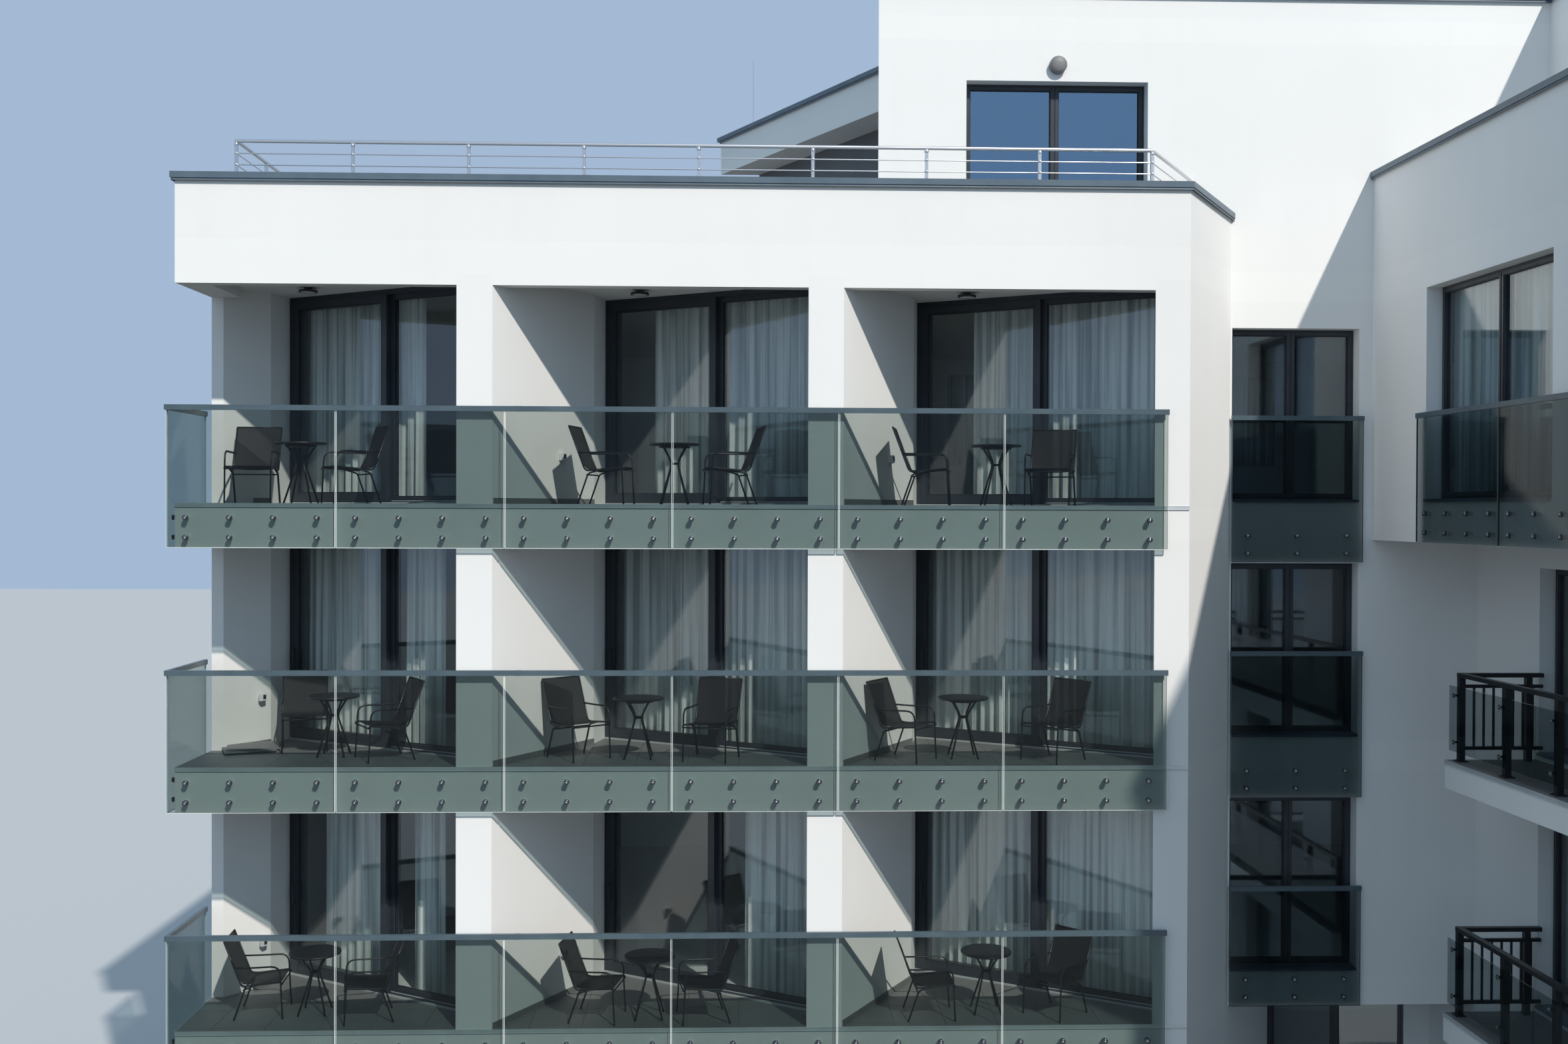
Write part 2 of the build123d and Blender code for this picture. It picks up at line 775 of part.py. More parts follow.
with BuildPart() as wing_balcony_glass:
    for level in (1, 2):
        plane = standing((rail_line - half, inner), -90, floors[level])
        panes = guard_panes(balcony_start, wing_guard_end, wing_panels)
        nearest = -balcony_glass_gap - guard_glass
        low, high = balcony_glass_low, balcony_glass_high
        stand_panes(plane, panes, low, high, nearest, -balcony_glass_gap)
save(wing_balcony_glass.part, "wing_balcony_glass")

# Parapets and their metal copings
beyond = (corner_east + wall * splay, inner + wall)
front_path = [band_end, (west, rear), (west, front), (east, front), beyond]
wing_path = [(wing_face, inner), (wing_face, wing_front), (wing_upper, wing_front)]
roof_path = [(tower_west, inner), (wing_upper, inner), (wing_upper, wing_front)]
roof_path += [(wing_east, wing_front), (wing_east, rear), band_end, notch]
lap = parapet + coping_inside
behind_corner = rectangle(tower_west, wing_upper, inner, rear - wall)


def raise_ring(left, right, low, high):
    """A ring along the upper roof's edge, between two lines beside it."""
    raise_outline(shifted(roof_path, left, True), low, high)
    raise_outline(shifted(roof_path, right, True), low, high, Mode.SUBTRACT)


roof_coping = upper_top + upper_parapet_height
wing_coping = terrace + wing_parapet_height
front_coping = terrace + front_parapet_height
with BuildPart() as parapets:
    raise_ring(0, parapet, upper_top, roof_coping)
    raise_outline(strip(front_path, 0, parapet), terrace, front_coping)
    raise_outline(behind_corner, terrace, front_coping, Mode.SUBTRACT)
    raise_outline(strip(wing_path, 0, parapet), terrace, wing_coping)
save(parapets.part, "parapets")

with BuildPart() as copings:
    raise_ring(-coping_overhang, lap, roof_coping, roof_coping + coping_height)
    high = front_coping + coping_height
    raise_outline(strip(front_path, -coping_overhang, lap), front_coping, high)
    raise_outline(behind_corner, front_coping, high, Mode.SUBTRACT)
    high = wing_coping + coping_height
    raise_outline(strip(wing_path, -coping_overhang, lap), wing_coping, high)
save(copings.part, "copings")

# Stainless railing of the roof terrace
rail_y = front + railing_in
rail_corner = (east - railing_corner_in, rail_y)
rail_wall = (rail_corner[0] + (inner + wall - rail_y) * splay, inner + wall)
rail_west = west + railing_side_in
west_end = (rail_west, rear - railing_side_in)
rail_points = [west_end, (rail_west, rail_y), rail_corner, rail_wall]
half = railing_post / 2


def tube_along(points, height, radius):
    """A round tube along a plan path at one height, with mitred corners."""
    with BuildLine() as route:
        Polyline(*[(x, y, height) for x, y in points])
    start = Vector(*points[0], height)
    with BuildSketch(Plane(start, z_dir=Vector(*points[1], height) - start)) as section:
        Circle(radius)
    sweep(section.sketch, path=route.line, transition=Transition.RIGHT)


with BuildPart() as terrace_railing:
    top = terrace + railing_height - railing_tube / 2
    tube_along(rail_points, top, railing_tube / 2)
    for below in railing_wires:
        tube_along(rail_points, top - below, railing_wire / 2)
    span = rail_corner[0] - rail_west
    spots = [(rail_west + n * span / (railing_posts - 1), rail_y) for n in range(railing_posts)]
    run = west_end[1] - rail_y
    pitch = run / side_railing_posts
    spots += [(rail_west, rail_y + (n + 1) * pitch) for n in range(side_railing_posts)]
    for x, y in spots:
        raise_outline(rectangle(x - half, x + half, y - half, y + half), terrace, top)
    behind_wall = rectangle(tower_west, wing_face, inner, inner + 2 * wall)
    raise_outline(behind_wall, terrace, upper_soffit, Mode.SUBTRACT)
save(terrace_railing.part, "terrace_railing")

# Lamps and the lightning rod
with BuildPart() as ceiling_lamps:
    for level in range(loggia_storeys):
        ceiling = floors[level] + clear_height
        for start in bay_starts:
            with BuildSketch(Plane.XY.offset(ceiling)) as neck:
                with Locations((start + lamp_along, front + lamp_in)):
                    Circle(lamp_neck_radius)
            extrude(neck.sketch, amount=-lamp_neck)
            with BuildSketch(Plane.XY.offset(ceiling - lamp_neck)) as drum:
                with Locations((start + lamp_along, front + lamp_in)):
                    Circle(lamp_radius)
            extrude(drum.sketch, amount=-lamp_height)
save(ceiling_lamps.part, "ceiling_lamps")

with BuildPart() as wall_lamp:
    place = (sum(terrace_pane) / 2, terrace_door_head + wall_lamp_over_door)
    stand_rods(terrace_plane, [place], wall_lamp_radius, -wall_lamp_depth, 0)
save(wall_lamp.part, "wall_lamp")

with BuildPart() as lightning_rod:
    foot = roof_coping + coping_height
    along_band = rod_from_end * band_slope
    with BuildSketch(Plane.XY.offset(foot)) as section:
        with Locations((band_end[0] + along_band + rod_in, rear - rod_from_end)):
            Circle(rod_radius)
    extrude(section.sketch, amount=rod_height)
save(lightning_rod.part, "lightning_rod")

# One sling chair facing +X: the seat and back as one sling between two bent side frames
sling_path = [
    (seat_depth / 2, seat_height),
    (-seat_depth / 2, seat_height - seat_fall),
    (-seat_depth / 2 - back_lean, back_height),
]
arm_share = (arm_height - sling_path[1][1]) / (back_height - sling_path[1][1])
arm_rear = sling_path[1][0] - back_lean * arm_share
front_leg = [(seat_depth / 2, 0), (seat_depth / 2, arm_height), (arm_rear, arm_height)]
knee, foot = sling_path[1], sling_path[1][0] - foot_back
rear_leg = [(foot - tube / 2, 0), (foot + tube / 2, 0)]
rear_leg += [(knee[0] + tube / 2, knee[1]), (knee[0] - tube / 2, knee[1])]
with BuildPart() as chair:
    with BuildSketch(Plane.XZ) as sling_profile:
        with BuildLine():
            Polyline(*strip(sling_path, 0, sling), close=True)
        make_face()
    extrude(sling_profile.sketch, amount=seat_width / 2, both=True)
    for side in (-1, 1):
        with BuildSketch(Plane.XZ.offset(side * seat_width / 2)) as side_profile:
            with BuildLine():
                Polyline(*strip(front_leg, -tube / 2, tube / 2), close=True)
            make_face()
            with BuildLine():
                Polyline(*rear_leg, close=True)
            make_face()
            with BuildLine():
                Polyline(*strip(sling_path, -tube / 2, tube / 2), close=True)
            make_face()
        extrude(side_profile.sketch, amount=tube / 2, both=True)

chair_places, table_places = [], []
for (level, bay), (left, centre, right) in furniture.items():
    for along, behind, turn in (left, right):
        place = (bay_starts[bay] + along, front + behind, floors[level])
        chair_places.append(Location(place, (0, 0, turn)))
    place = (bay_starts[bay] + centre[0], front + centre[1], floors[level])
    table_places.append(Location(place))
with BuildPart() as balcony_chairs:
    with Locations(*chair_places):
        add(chair.part)
save(balcony_chairs.part, "balcony_chairs")

# One round table on four spread legs
with BuildPart() as table:
    with BuildSketch(Plane.XY.offset(table_height - table_top)) as disc:
        Circle(table_radius)
    extrude(disc.sketch, amount=table_top)
    with BuildSketch() as feet:
        with PolarLocations(table_foot, 4):
            Rectangle(table_leg, table_leg)
    extrude(feet.sketch, amount=table_height - table_top)
with BuildPart() as balcony_tables:
    with Locations(*table_places):
        add(table.part)
save(balcony_tables.part, "balcony_tables")
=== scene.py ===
"""Looks of the apartment block: finishes, curtains, tiles, fittings, furniture, camera and light."""

import json
import math
import random
from collections import namedtuple

import bmesh
import bpy
from mathutils import Matrix, Vector


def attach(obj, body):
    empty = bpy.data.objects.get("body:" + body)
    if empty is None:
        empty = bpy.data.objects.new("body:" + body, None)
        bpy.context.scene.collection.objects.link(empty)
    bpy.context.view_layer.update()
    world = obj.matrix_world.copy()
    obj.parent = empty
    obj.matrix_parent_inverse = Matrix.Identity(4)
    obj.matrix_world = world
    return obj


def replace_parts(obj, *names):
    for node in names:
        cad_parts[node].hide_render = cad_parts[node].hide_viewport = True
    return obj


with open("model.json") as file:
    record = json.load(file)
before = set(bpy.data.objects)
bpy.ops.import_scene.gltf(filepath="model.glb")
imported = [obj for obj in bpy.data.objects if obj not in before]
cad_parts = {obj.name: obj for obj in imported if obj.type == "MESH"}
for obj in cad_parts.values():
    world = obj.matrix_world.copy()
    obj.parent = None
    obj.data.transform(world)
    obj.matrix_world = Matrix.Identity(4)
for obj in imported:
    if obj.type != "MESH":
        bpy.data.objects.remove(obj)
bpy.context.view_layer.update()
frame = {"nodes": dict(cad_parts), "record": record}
nodes = frame["nodes"]

# Main measures of the block, in metres, as in the part
STOREY = 3.0
PLINTH = 0.15
CLEAR = 2.625
DEPTH = 9.82
FRONT = -DEPTH / 2
REAR = DEPTH / 2
WEST = -5.7885
EAST = 5.7885
BAY = 4.005
OPENING = 3.6
WALL = 0.3
SPLAY = math.radians(30.3)
SLOPE = math.tan(SPLAY)
DOOR_ANGLE = math.radians(32.0)
SPLAY_DEPTH = 1.712
NIB = (0.1, 0.468)
WEST_SETBACK = 1.223
WEST_NOSE = 0.141
LINK_SETBACK = 1.82
INNER = FRONT + LINK_SETBACK
CORNER_EAST = EAST + LINK_SETBACK * SLOPE
WING_REACH = 7.5
WING_FRONT = FRONT - WING_REACH
WING_FACE = EAST + 2.901
WING_LOWER = WING_FACE + 1.38
WING_UPPER = WING_FACE + 2.277
WING_EAST = WING_FACE + 7.0
TOWER_WEST = EAST - 3.447
NOTCH = 3.808
NOTCH_EAST = TOWER_WEST + (NOTCH - LINK_SETBACK) * SLOPE
BAND_ANGLE = math.radians(28.2)
BAND_SLOPE = math.tan(BAND_ANGLE)
BAND_SET_IN = 0.6 / math.sin(SPLAY + BAND_ANGLE)
BAND_CORNER = (
    NOTCH_EAST + BAND_SET_IN * math.sin(SPLAY),
    FRONT + NOTCH + BAND_SET_IN * math.cos(SPLAY),
)
BAND_REAR = BAND_CORNER[0] - (REAR - BAND_CORNER[1]) * BAND_SLOPE
BAND_END = NOTCH_EAST - (DEPTH - NOTCH) * BAND_SLOPE
LEVELS = 4
FLOORS = [PLINTH + STOREY * level for level in range(LEVELS + 1)]
STARTS = [EAST - (3 - bay) * BAY for bay in range(3)]
LOGGIAS = [(level, start) for level in range(LEVELS) for start in STARTS]

# Doors and windows
DOOR_LENGTH = 3.2597
DOOR_MIDDLE = DOOR_LENGTH / 2
DOOR_DEPTH = 0.15
TRACK = 0.07
FRAME_FACE = 0.06
STILE = 0.095
DOOR_SILL = 0.04
BOTTOM_RAIL = 0.11
FIXED_RAIL = 0.06
REVEAL = 0.19
WINDOW_DEPTH = 0.08
WINDOW_FACE = 0.075
MULLION = 0.11
GLASS = 0.024
PANE_DEPTH = REVEAL + (WINDOW_DEPTH - GLASS) / 2
HEAD = 2.29
UPPER_WING_HEAD = 2.6
LOW_SILL = 0.1
HIGH_SILL = 0.9
REAR_WINDOW = 1.6
WING_WINDOW = 2.799
INNER_WINDOW = (0.02, 1.662)

# Guards
STANDOFF = 0.06
GUARD_GLASS = 0.017
GUARD_FACE = STANDOFF + GUARD_GLASS
GUARD_JOINT = 0.02
GUARD_TOP = 1.06
GUARD_END = STARTS[-1] + OPENING + 0.142
INNER_GUARD_TOP = 1.11
RAIL_HEIGHT = 0.06
RAIL_LAP = 0.013
FIXING_ROWS = (0.11, 0.335)
FIXING_MARGIN = 0.205

# Side wing balconies
BALCONY_LEVELS = (1, 2)
BALCONY_EDGE = WING_LOWER - 1.1
BALCONY_RAIL = BALCONY_EDGE + 0.13
BALCONY_POST = 0.07
BALCONY_POSTS = 8
BALCONY_NEAR = WING_FRONT + 0.083
BALCONY_FAR = INNER - 1.465
BALCONY_MARGIN = 0.13

# Terrace railing
RAIL_SET_IN = (0.615, 0.23)
RAIL_WEST = WEST + RAIL_SET_IN[0]
RAIL_EAST = EAST - 0.391
RAIL_Y = FRONT + RAIL_SET_IN[1]
RAIL_TOP = 1.18
RAIL_POSTS = 9
SIDE_POSTS = 8

# Parapets and copings
PARAPET = 0.68
PARAPET_THICK = 0.19
WING_PARAPET = 1.22
ROOF_EDGE = 2.915 + 0.3 + 0.285
COPING = 0.07
COPING_OUT = 0.045
COPING_IN = 0.02
PROUD = 0.0015

# Floor finish
TILE = 0.6
TILE_THICK = 0.012
TILE_GAP = 0.005

random.seed(11)

DOOR_FROM = Vector((SPLAY_DEPTH * SLOPE + NIB[0], SPLAY_DEPTH + NIB[1], 0))
UP = Vector((0, 0, 1))


class Face:
    """An upright face: a point on it, the way along it and the way out of it."""

    def __init__(self, x, y, height, angle):
        turn = math.radians(angle)
        self.origin = Vector((x, y, height))
        self.along = Vector((math.cos(turn), math.sin(turn), 0))
        self.out = Vector((math.sin(turn), -math.cos(turn), 0))

    def at(self, along, out, up):
        """The point that lies so far along the face, out of it and above its foot."""
        return self.origin + self.along * along + self.out * out + UP * up


Guard = namedtuple("Guard", "face panes foot top per_row")
Window = namedtuple("Window", "name face sides sill head")


def about(middle, half):
    """The two ends of a width, from its middle."""
    return middle - half, middle + half


# Materials
WHITE = (1, 1, 1)


class Finish:
    """A material, or the world, whose nodes are made and wired one by one."""

    def __init__(self, owner):
        owner.use_nodes = True
        self.owner = owner
        self.tree = owner.node_tree
        self.shader = self.tree.nodes.get("Principled BSDF")

    def feed(self, node, inputs):
        """Links outputs to a node's inputs, or sets them to numbers, vectors or colours."""
        for name, value in inputs.items():
            socket = node.inputs[name]
            if isinstance(value, bpy.types.NodeSocket):
                self.tree.links.new(value, socket)
            elif socket.type == "RGBA":
                socket.default_value = (*value, 1)
            else:
                socket.default_value = value

    def node(self, kind, inputs, **settings):
        """A new node of a kind."""
        made = self.tree.nodes.new("ShaderNode" + kind)
        for setting, value in settings.items():
            setattr(made, setting, value)
        self.feed(made, inputs)
        return made

    def noise(self, scale, detail, stretch=None):
        """A noise in object coordinates, stretched where asked."""
        place = self.node("TexCoord", {}).outputs["Object"]
        if stretch:
            place = self.node("Mapping", {"Vector": place, "Scale": stretch}).outputs["Vector"]
        return self.node("TexNoise", {"Vector": place, "Scale": scale, "Detail": detail}).outputs["Fac"]

    def ramp(self, source, low, high, start=0.3, stop=0.7):
        """A colour between two others, over part of a 0 to 1 value."""
        made = self.node("ValToRGB", {"Fac": source})
        for element, position, colour in zip(made.color_ramp.elements, (start, stop), (low, high)):
            element.position = position
            element.color = (*colour, 1)
        return made.outputs["Color"]

    def mixed(self, factor, first, second, way="MIX"):
        """Two colours mixed."""
        inputs = {0: factor, 6: first, 7: second}
        return self.node("Mix", inputs, data_type="RGBA", blend_type=way).outputs[2]

    def calculated(self, operation, *values):
        """The result of one operation on numbers."""
        return self.node("Math", dict(enumerate(values)), operation=operation).outputs[0]

    def spread(self, source, low, high):
        """A 0 to 1 value carried over to another range."""
        inputs = {"Value": source, "To Min": low, "To Max": high}
        return self.node("MapRange", inputs).outputs["Result"]

    def bump(self, height, strength, distance):
        """Raised grain on the shader."""
        grain = self.node("Bump", {"Height": height, "Strength": strength, "Distance": distance})
        self.feed(self.shader, {"Normal": grain.outputs["Normal"]})

    def surface(self, output, share, first, second):
        """Two shaders mixed, sent to an output."""
        blend = self.node("MixShader", {"Fac": share, 1: first.outputs[0], 2: second.outputs[0]})
        self.feed(self.tree.nodes[output], {"Surface": blend.outputs[0]})

    def seen_rays(self):
        """One for what the camera sees directly, in gloss or through glass, and zero for the light."""
        path = self.node("LightPath", {}).outputs
        direct = self.calculated("MAXIMUM", path["Is Camera Ray"], path["Is Glossy Ray"])
        return self.calculated("MAXIMUM", direct, path["Is Transmission Ray"])


def new_finish(name):
    """A new material, ready for its nodes."""
    return Finish(bpy.data.materials.new(name))


def render_finish(name, low, high, top=None):
    """Fine trowelled render: a cloudy tone, faint streaks, a sandy grain, and another colour on top."""
    finish = new_finish(name)
    tone = finish.ramp(finish.noise(scale=0.55, detail=5), low, high)
    streaks = finish.noise(scale=3.0, detail=6, stretch=(1.0, 1.0, 0.08))
    shade = finish.ramp(streaks, (0.988, 0.988, 0.986), WHITE, start=0.28, stop=0.5)
    colour = finish.mixed(1.0, tone, shade, "MULTIPLY")
    if top:
        facing = finish.node("NewGeometry", {}).outputs["True Normal"]
        upward = finish.node("SeparateXYZ", {0: facing}).outputs["Z"]
        colour = finish.mixed(finish.calculated("GREATER_THAN", upward, 0.9), colour, top)
    finish.feed(finish.shader, {"Base Color": colour, "Roughness": 0.85, "Specular IOR Level": 0.25})
    waves, sand = finish.noise(scale=2.2, detail=3), finish.noise(scale=160, detail=3)
    finish.bump(finish.calculated("MULTIPLY_ADD", waves, 3.0, sand), strength=0.25, distance=0.003)
    return finish.owner


def painted_metal(name, low, high, rough, metallic=0.0):
    """Powder-coated metal with a slight tone change and orange-peel grain."""
    finish = new_finish(name)
    tone = finish.ramp(finish.noise(scale=3.0, detail=4), low, high)
    gloss = finish.spread(finish.noise(scale=9.0, detail=3), rough - 0.06, rough + 0.08)
    finish.feed(finish.shader, {"Base Color": tone, "Roughness": gloss, "Metallic": metallic})
    finish.bump(finish.noise(scale=220, detail=2), strength=0.08, distance=0.001)
    return finish.owner


def brushed_steel(name, low, high):
    """Satin stainless steel with fine brushing."""
    finish = new_finish(name)
    brushing = finish.noise(scale=60, detail=6, stretch=(1.0, 1.0, 14.0))
    tone, gloss = finish.ramp(brushing, low, high), finish.spread(brushing, 0.22, 0.38)
    finish.feed(finish.shader, {"Base Color": tone, "Roughness": gloss, "Metallic": 1.0})
    finish.bump(brushing, strength=0.05, distance=0.0005)
    return finish.owner


def tinted_glass(name, tint, shade, gleam, peak=0.9, gloss=(0.92, 0.96, 1.0)):
    """Clear tinted pane: one tint for what is seen through it, a deeper one for the light it lets in."""
    finish = new_finish(name)
    dust = finish.noise(scale=1.7, detail=5)
    through = finish.ramp(dust, tuple(0.97 * part for part in tint), tint)
    path = finish.node("LightPath", {}).outputs
    lighting = finish.calculated("MAXIMUM", path["Is Shadow Ray"], path["Is Diffuse Ray"])
    clear = finish.node("BsdfTransparent", {"Color": finish.mixed(lighting, through, shade)})
    smear = finish.spread(dust, 0.01, 0.05)
    finish.feed(finish.shader, {"Base Color": gloss, "Roughness": smear, "Metallic": 1.0})
    facing = finish.node("LayerWeight", {"Blend": 0.5}).outputs["Facing"]
    mirror = finish.spread(finish.calculated("POWER", facing, 5.0), gleam, peak)
    finish.surface("Material Output", mirror, clear, finish.shader)
    return finish.owner


def opal_or_painted_edge(name, colour, rough):
    """Opal plastic, or the painted glow and painted shade of polished glass edges, with a slightly uneven
    tone.
    """
    finish = new_finish(name)
    low = tuple(0.88 * part for part in colour)
    tone = finish.ramp(finish.noise(scale=6.0, detail=3), low, colour)
    finish.feed(finish.shader, {"Base Color": tone, "Roughness": rough})
    return finish.owner


def sheer_cloth(name, low, high, cover):
    """Thin curtain cloth: a fine weave, painted shade of folds in soft vertical stripes, part of the light
    coming through.
    """
    finish = new_finish(name)
    tone = finish.ramp(finish.noise(scale=1.4, detail=4, stretch=(1.0, 1.0, 0.3)), low, high)
    thread = finish.noise(scale=700, detail=2, stretch=(1.0, 1.0, 0.1))
    colour = finish.mixed(1.0, tone, finish.ramp(thread, (0.92, 0.92, 0.92), WHITE), "MULTIPLY")
    # Painted shade of folds: soft vertical stripes that darken the cloth's colour to less than half.
    layers = finish.noise(scale=13, detail=2, stretch=(1.0, 1.0, 0.02))
    depth = finish.ramp(layers, (0.42, 0.44, 0.45), WHITE, start=0.36, stop=0.56)
    colour = finish.mixed(1.0, colour, depth, "MULTIPLY")
    feel = {"Base Color": colour, "Roughness": 0.9, "Sheen Weight": 0.15, "Alpha": cover}
    finish.feed(finish.shader, feel)
    finish.bump(thread, strength=0.1, distance=0.0004)
    through = finish.node("BsdfTranslucent", {"Color": colour})
    finish.surface("Material Output", 0.12, finish.shader, through)
    return finish.owner


def sling_cloth(name):
    """Black coated mesh cloth, woven square, from the piece's own UV in metres."""
    finish = new_finish(name)
    wave = {"Vector": finish.node("TexCoord", {}).outputs["UV"], "Scale": 75}
    threads = [finish.node("TexWave", wave, bands_direction=way).outputs["Fac"] for way in "XY"]
    weave = finish.calculated("MULTIPLY", *threads)
    tone = finish.ramp(weave, (0.006, 0.006, 0.007), (0.022, 0.023, 0.026), start=0.1, stop=0.8)
    feel = {"Base Color": tone, "Roughness": 0.62, "Specular IOR Level": 0.25, "Alpha": 0.96}
    finish.feed(finish.shader, feel)
    finish.bump(weave, strength=0.25, distance=0.0006)
    return finish.owner


def porcelain(name, low, high):
    """Dark porcelain tile: a slight cloud, fine specks and a satin face."""
    finish = new_finish(name)
    tone = finish.ramp(finish.noise(scale=1.6, detail=6), low, high)
    specks = finish.noise(scale=240, detail=2)
    dots = finish.ramp(specks, (0.82, 0.82, 0.82), WHITE, start=0.35, stop=0.6)
    colour = finish.mixed(1.0, tone, dots, "MULTIPLY")
    finish.feed(finish.shader, {"Base Color": colour, "Roughness": 0.55})
    finish.bump(specks, strength=0.12, distance=0.0005)
    return finish.owner


SLAB_TONES = ((0.80, 0.80, 0.79), (0.825, 0.825, 0.815))
white_render = render_finish("white_render", (0.785, 0.785, 0.777), (0.81, 0.81, 0.803))
white_slab = render_finish("white_slab", *SLAB_TONES)
roof_slab = render_finish("roof_slab", *SLAB_TONES, top=(0.30, 0.31, 0.32))
grey_render = render_finish("grey_render", (0.145, 0.150, 0.160), (0.180, 0.185, 0.195))
coping_metal = painted_metal("coping_metal", (0.080, 0.118, 0.155), (0.105, 0.148, 0.188), 0.38)
rail_metal = painted_metal("rail_metal", (0.058, 0.090, 0.112), (0.080, 0.118, 0.142), 0.34)
frame_metal = painted_metal("frame_metal", (0.020, 0.027, 0.036), (0.031, 0.039, 0.050), 0.36)
black_metal = painted_metal("black_metal", (0.010, 0.011, 0.013), (0.018, 0.019, 0.022), 0.38)
lamp_metal = painted_metal("lamp_metal", (0.020, 0.021, 0.023), (0.032, 0.033, 0.036), 0.5)
grey_lamp = painted_metal("grey_lamp", (0.13, 0.135, 0.14), (0.18, 0.185, 0.19), 0.5)
pale_edge = painted_metal("pale_edge", (0.52, 0.55, 0.56), (0.62, 0.65, 0.66), 0.3, metallic=0.3)
white_plastic = painted_metal("white_plastic", (0.66, 0.67, 0.67), (0.74, 0.75, 0.75), 0.35)
rubber = painted_metal("rubber", (0.008, 0.008, 0.009), (0.014, 0.014, 0.015), 0.6)
steel = brushed_steel("satin_steel", (0.55, 0.56, 0.58), (0.74, 0.75, 0.76))
# A dark copy of the satin steel: painted shade on the fixing heads and their collars.
painted_shade_steel = brushed_steel("painted_shade_steel", (0.085, 0.092, 0.10), (0.14, 0.15, 0.16))
dark_tile = porcelain("dark_tile", (0.155, 0.160, 0.160), (0.205, 0.210, 0.208))
opal = opal_or_painted_edge("opal", (0.74, 0.74, 0.72), 0.25)
# Guard glass edges as painted light: a pale painted glow, and a dark painted shade for the other guards.
glass_edge = opal_or_painted_edge("glass_edge", (0.90, 0.95, 0.92), 0.2)
painted_shade_edge = opal_or_painted_edge("painted_shade_edge", (0.11, 0.135, 0.14), 0.2)
door_glass = tinted_glass("door_glass", (0.95, 0.972, 0.968), (0.96, 0.98, 0.98), 0.065)
pane_glass = tinted_glass("pane_glass", (0.84, 0.89, 0.90), (0.80, 0.85, 0.86), 0.13)
# Blue tint and a strong blue mirroring: a painted reflection of the sky.
painted_sky_reflection = tinted_glass("painted_sky_reflection", (0.55, 0.62, 0.70), (0.6, 0.7, 0.8), 0.42, gloss=(0.47, 0.68, 0.89))
guard_glass = tinted_glass("guard_glass", (0.745, 0.780, 0.772), (0.54, 0.60, 0.595), 0.012, 0.3)
# A darker copy of the guard glass for the inner corner and side wing guards: painted shade.
painted_shade_glass = tinted_glass("painted_shade_glass", (0.70, 0.74, 0.745), (0.44, 0.49, 0.50), 0.006, 0.95)
curtain_cloth = sheer_cloth("curtain_cloth", (0.90, 0.93, 0.91), (0.94, 0.96, 0.95), 0.96)
lining_cloth = sheer_cloth("lining_cloth", (0.42, 0.44, 0.45), (0.52, 0.54, 0.55), 1.0)
sling = sling_cloth("sling_cloth")

# Finishes of the CAD nodes: by the record's slot, but for those that have their own
SLOT_FINISHES = {
    "render": white_render, "slab": white_slab, "grey_render": grey_render, "coping_metal": coping_metal,
    "frame_metal": frame_metal, "window_glass": pane_glass, "guard_glass": painted_shade_glass,
    "fixing_steel": steel, "black_metal": black_metal, "lamp_housing": lamp_metal,
}
OWN_FINISHES = {
    "tower_roof": roof_slab, "wing_roof": roof_slab, "sliding_door_glass": door_glass,
    "balcony_glass": guard_glass, "balcony_handrails": rail_metal, "window_guard_rails": rail_metal,
    "wall_lamp": grey_lamp,
}
for part in frame["record"]["subparts"]:
    node = nodes[part["node"]]
    if not node.material_slots:
        node.data.materials.append(None)
    for place in node.material_slots:
        place.material = OWN_FINISHES.get(part["node"], SLOT_FINISHES[part["material_slot"]])


# Building shapes
def shapes(count):
    """New empty shapes."""
    return [bmesh.new() for n in range(count)]


def finished(name, shape, made, edge=0.0, steps=1, smooth=False):
    """Rounds a shape's edges and makes it a piece with its material and body."""
    bmesh.ops.recalc_face_normals(shape, faces=shape.faces[:])
    if edge:
        sharp = [e for e in shape.edges if len(e.link_faces) == 2 and e.calc_face_angle(0) > 0.5]
        bmesh.ops.bevel(
            shape, geom=sharp, offset=edge, segments=steps, affect="EDGES", clamp_overlap=True
        )
    for face in shape.faces:
        face.smooth = smooth
    mesh = bpy.data.meshes.new(name)
    shape.to_mesh(mesh)
    shape.free()
    mesh.materials.append(made)
    piece = bpy.data.objects.new(name, mesh)
    bpy.context.collection.objects.link(piece)
    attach(piece, "root")
    return piece


def skinned(shape, rings):
    """A closed solid through rings of points."""
    rings = [[shape.verts.new(point) for point in points] for points in rings]
    for lower, upper in zip(rings, rings[1:]):
        for n in range(len(lower)):
            following = (n + 1) % len(lower)
            shape.faces.new((lower[n], lower[following], upper[following], upper[n]))
    shape.faces.new(rings[0][::-1])
    shape.faces.new(rings[-1])


def block(shape, face, along, out, up):
    """A block on a face, from one value to another along, out and up."""
    corners = [(along[0], out[0]), (along[1], out[0]), (along[1], out[1]), (along[0], out[1])]
    skinned(shape, [[face.at(a, o, height) for a, o in corners] for height in up])


def ring(shape, face, along, up, width, out):
    """A rectangular ring of four bars round an opening, its bars inside the given sides."""
    (left, right), (low, high) = along, up
    block(shape, face, (left, left + width), out, up)
    block(shape, face, (right - width, right), out, up)
    block(shape, face, (left + width, right - width), out, (low, low + width))
    block(shape, face, (left + width, right - width), out, (high - width, high))


def extruded(shape, face, profile, along):
    """A section of out and up values carried along a face."""
    skinned(shape, [[face.at(place, out, up) for out, up in profile] for place in along])


def lathed(shape, centre, axis, profile, sides=20):
    """A turned solid: radius and distance values along an axis."""
    axis = axis.normalized()
    first = axis.orthogonal().normalized()
    second = axis.cross(first)
    turns = [2 * math.pi * n / sides for n in range(sides)]
    spokes = [first * math.cos(turn) + second * math.sin(turn) for turn in turns]
    skinned(shape, [[centre + axis * reach + s * radius for s in spokes] for radius, reach in profile])


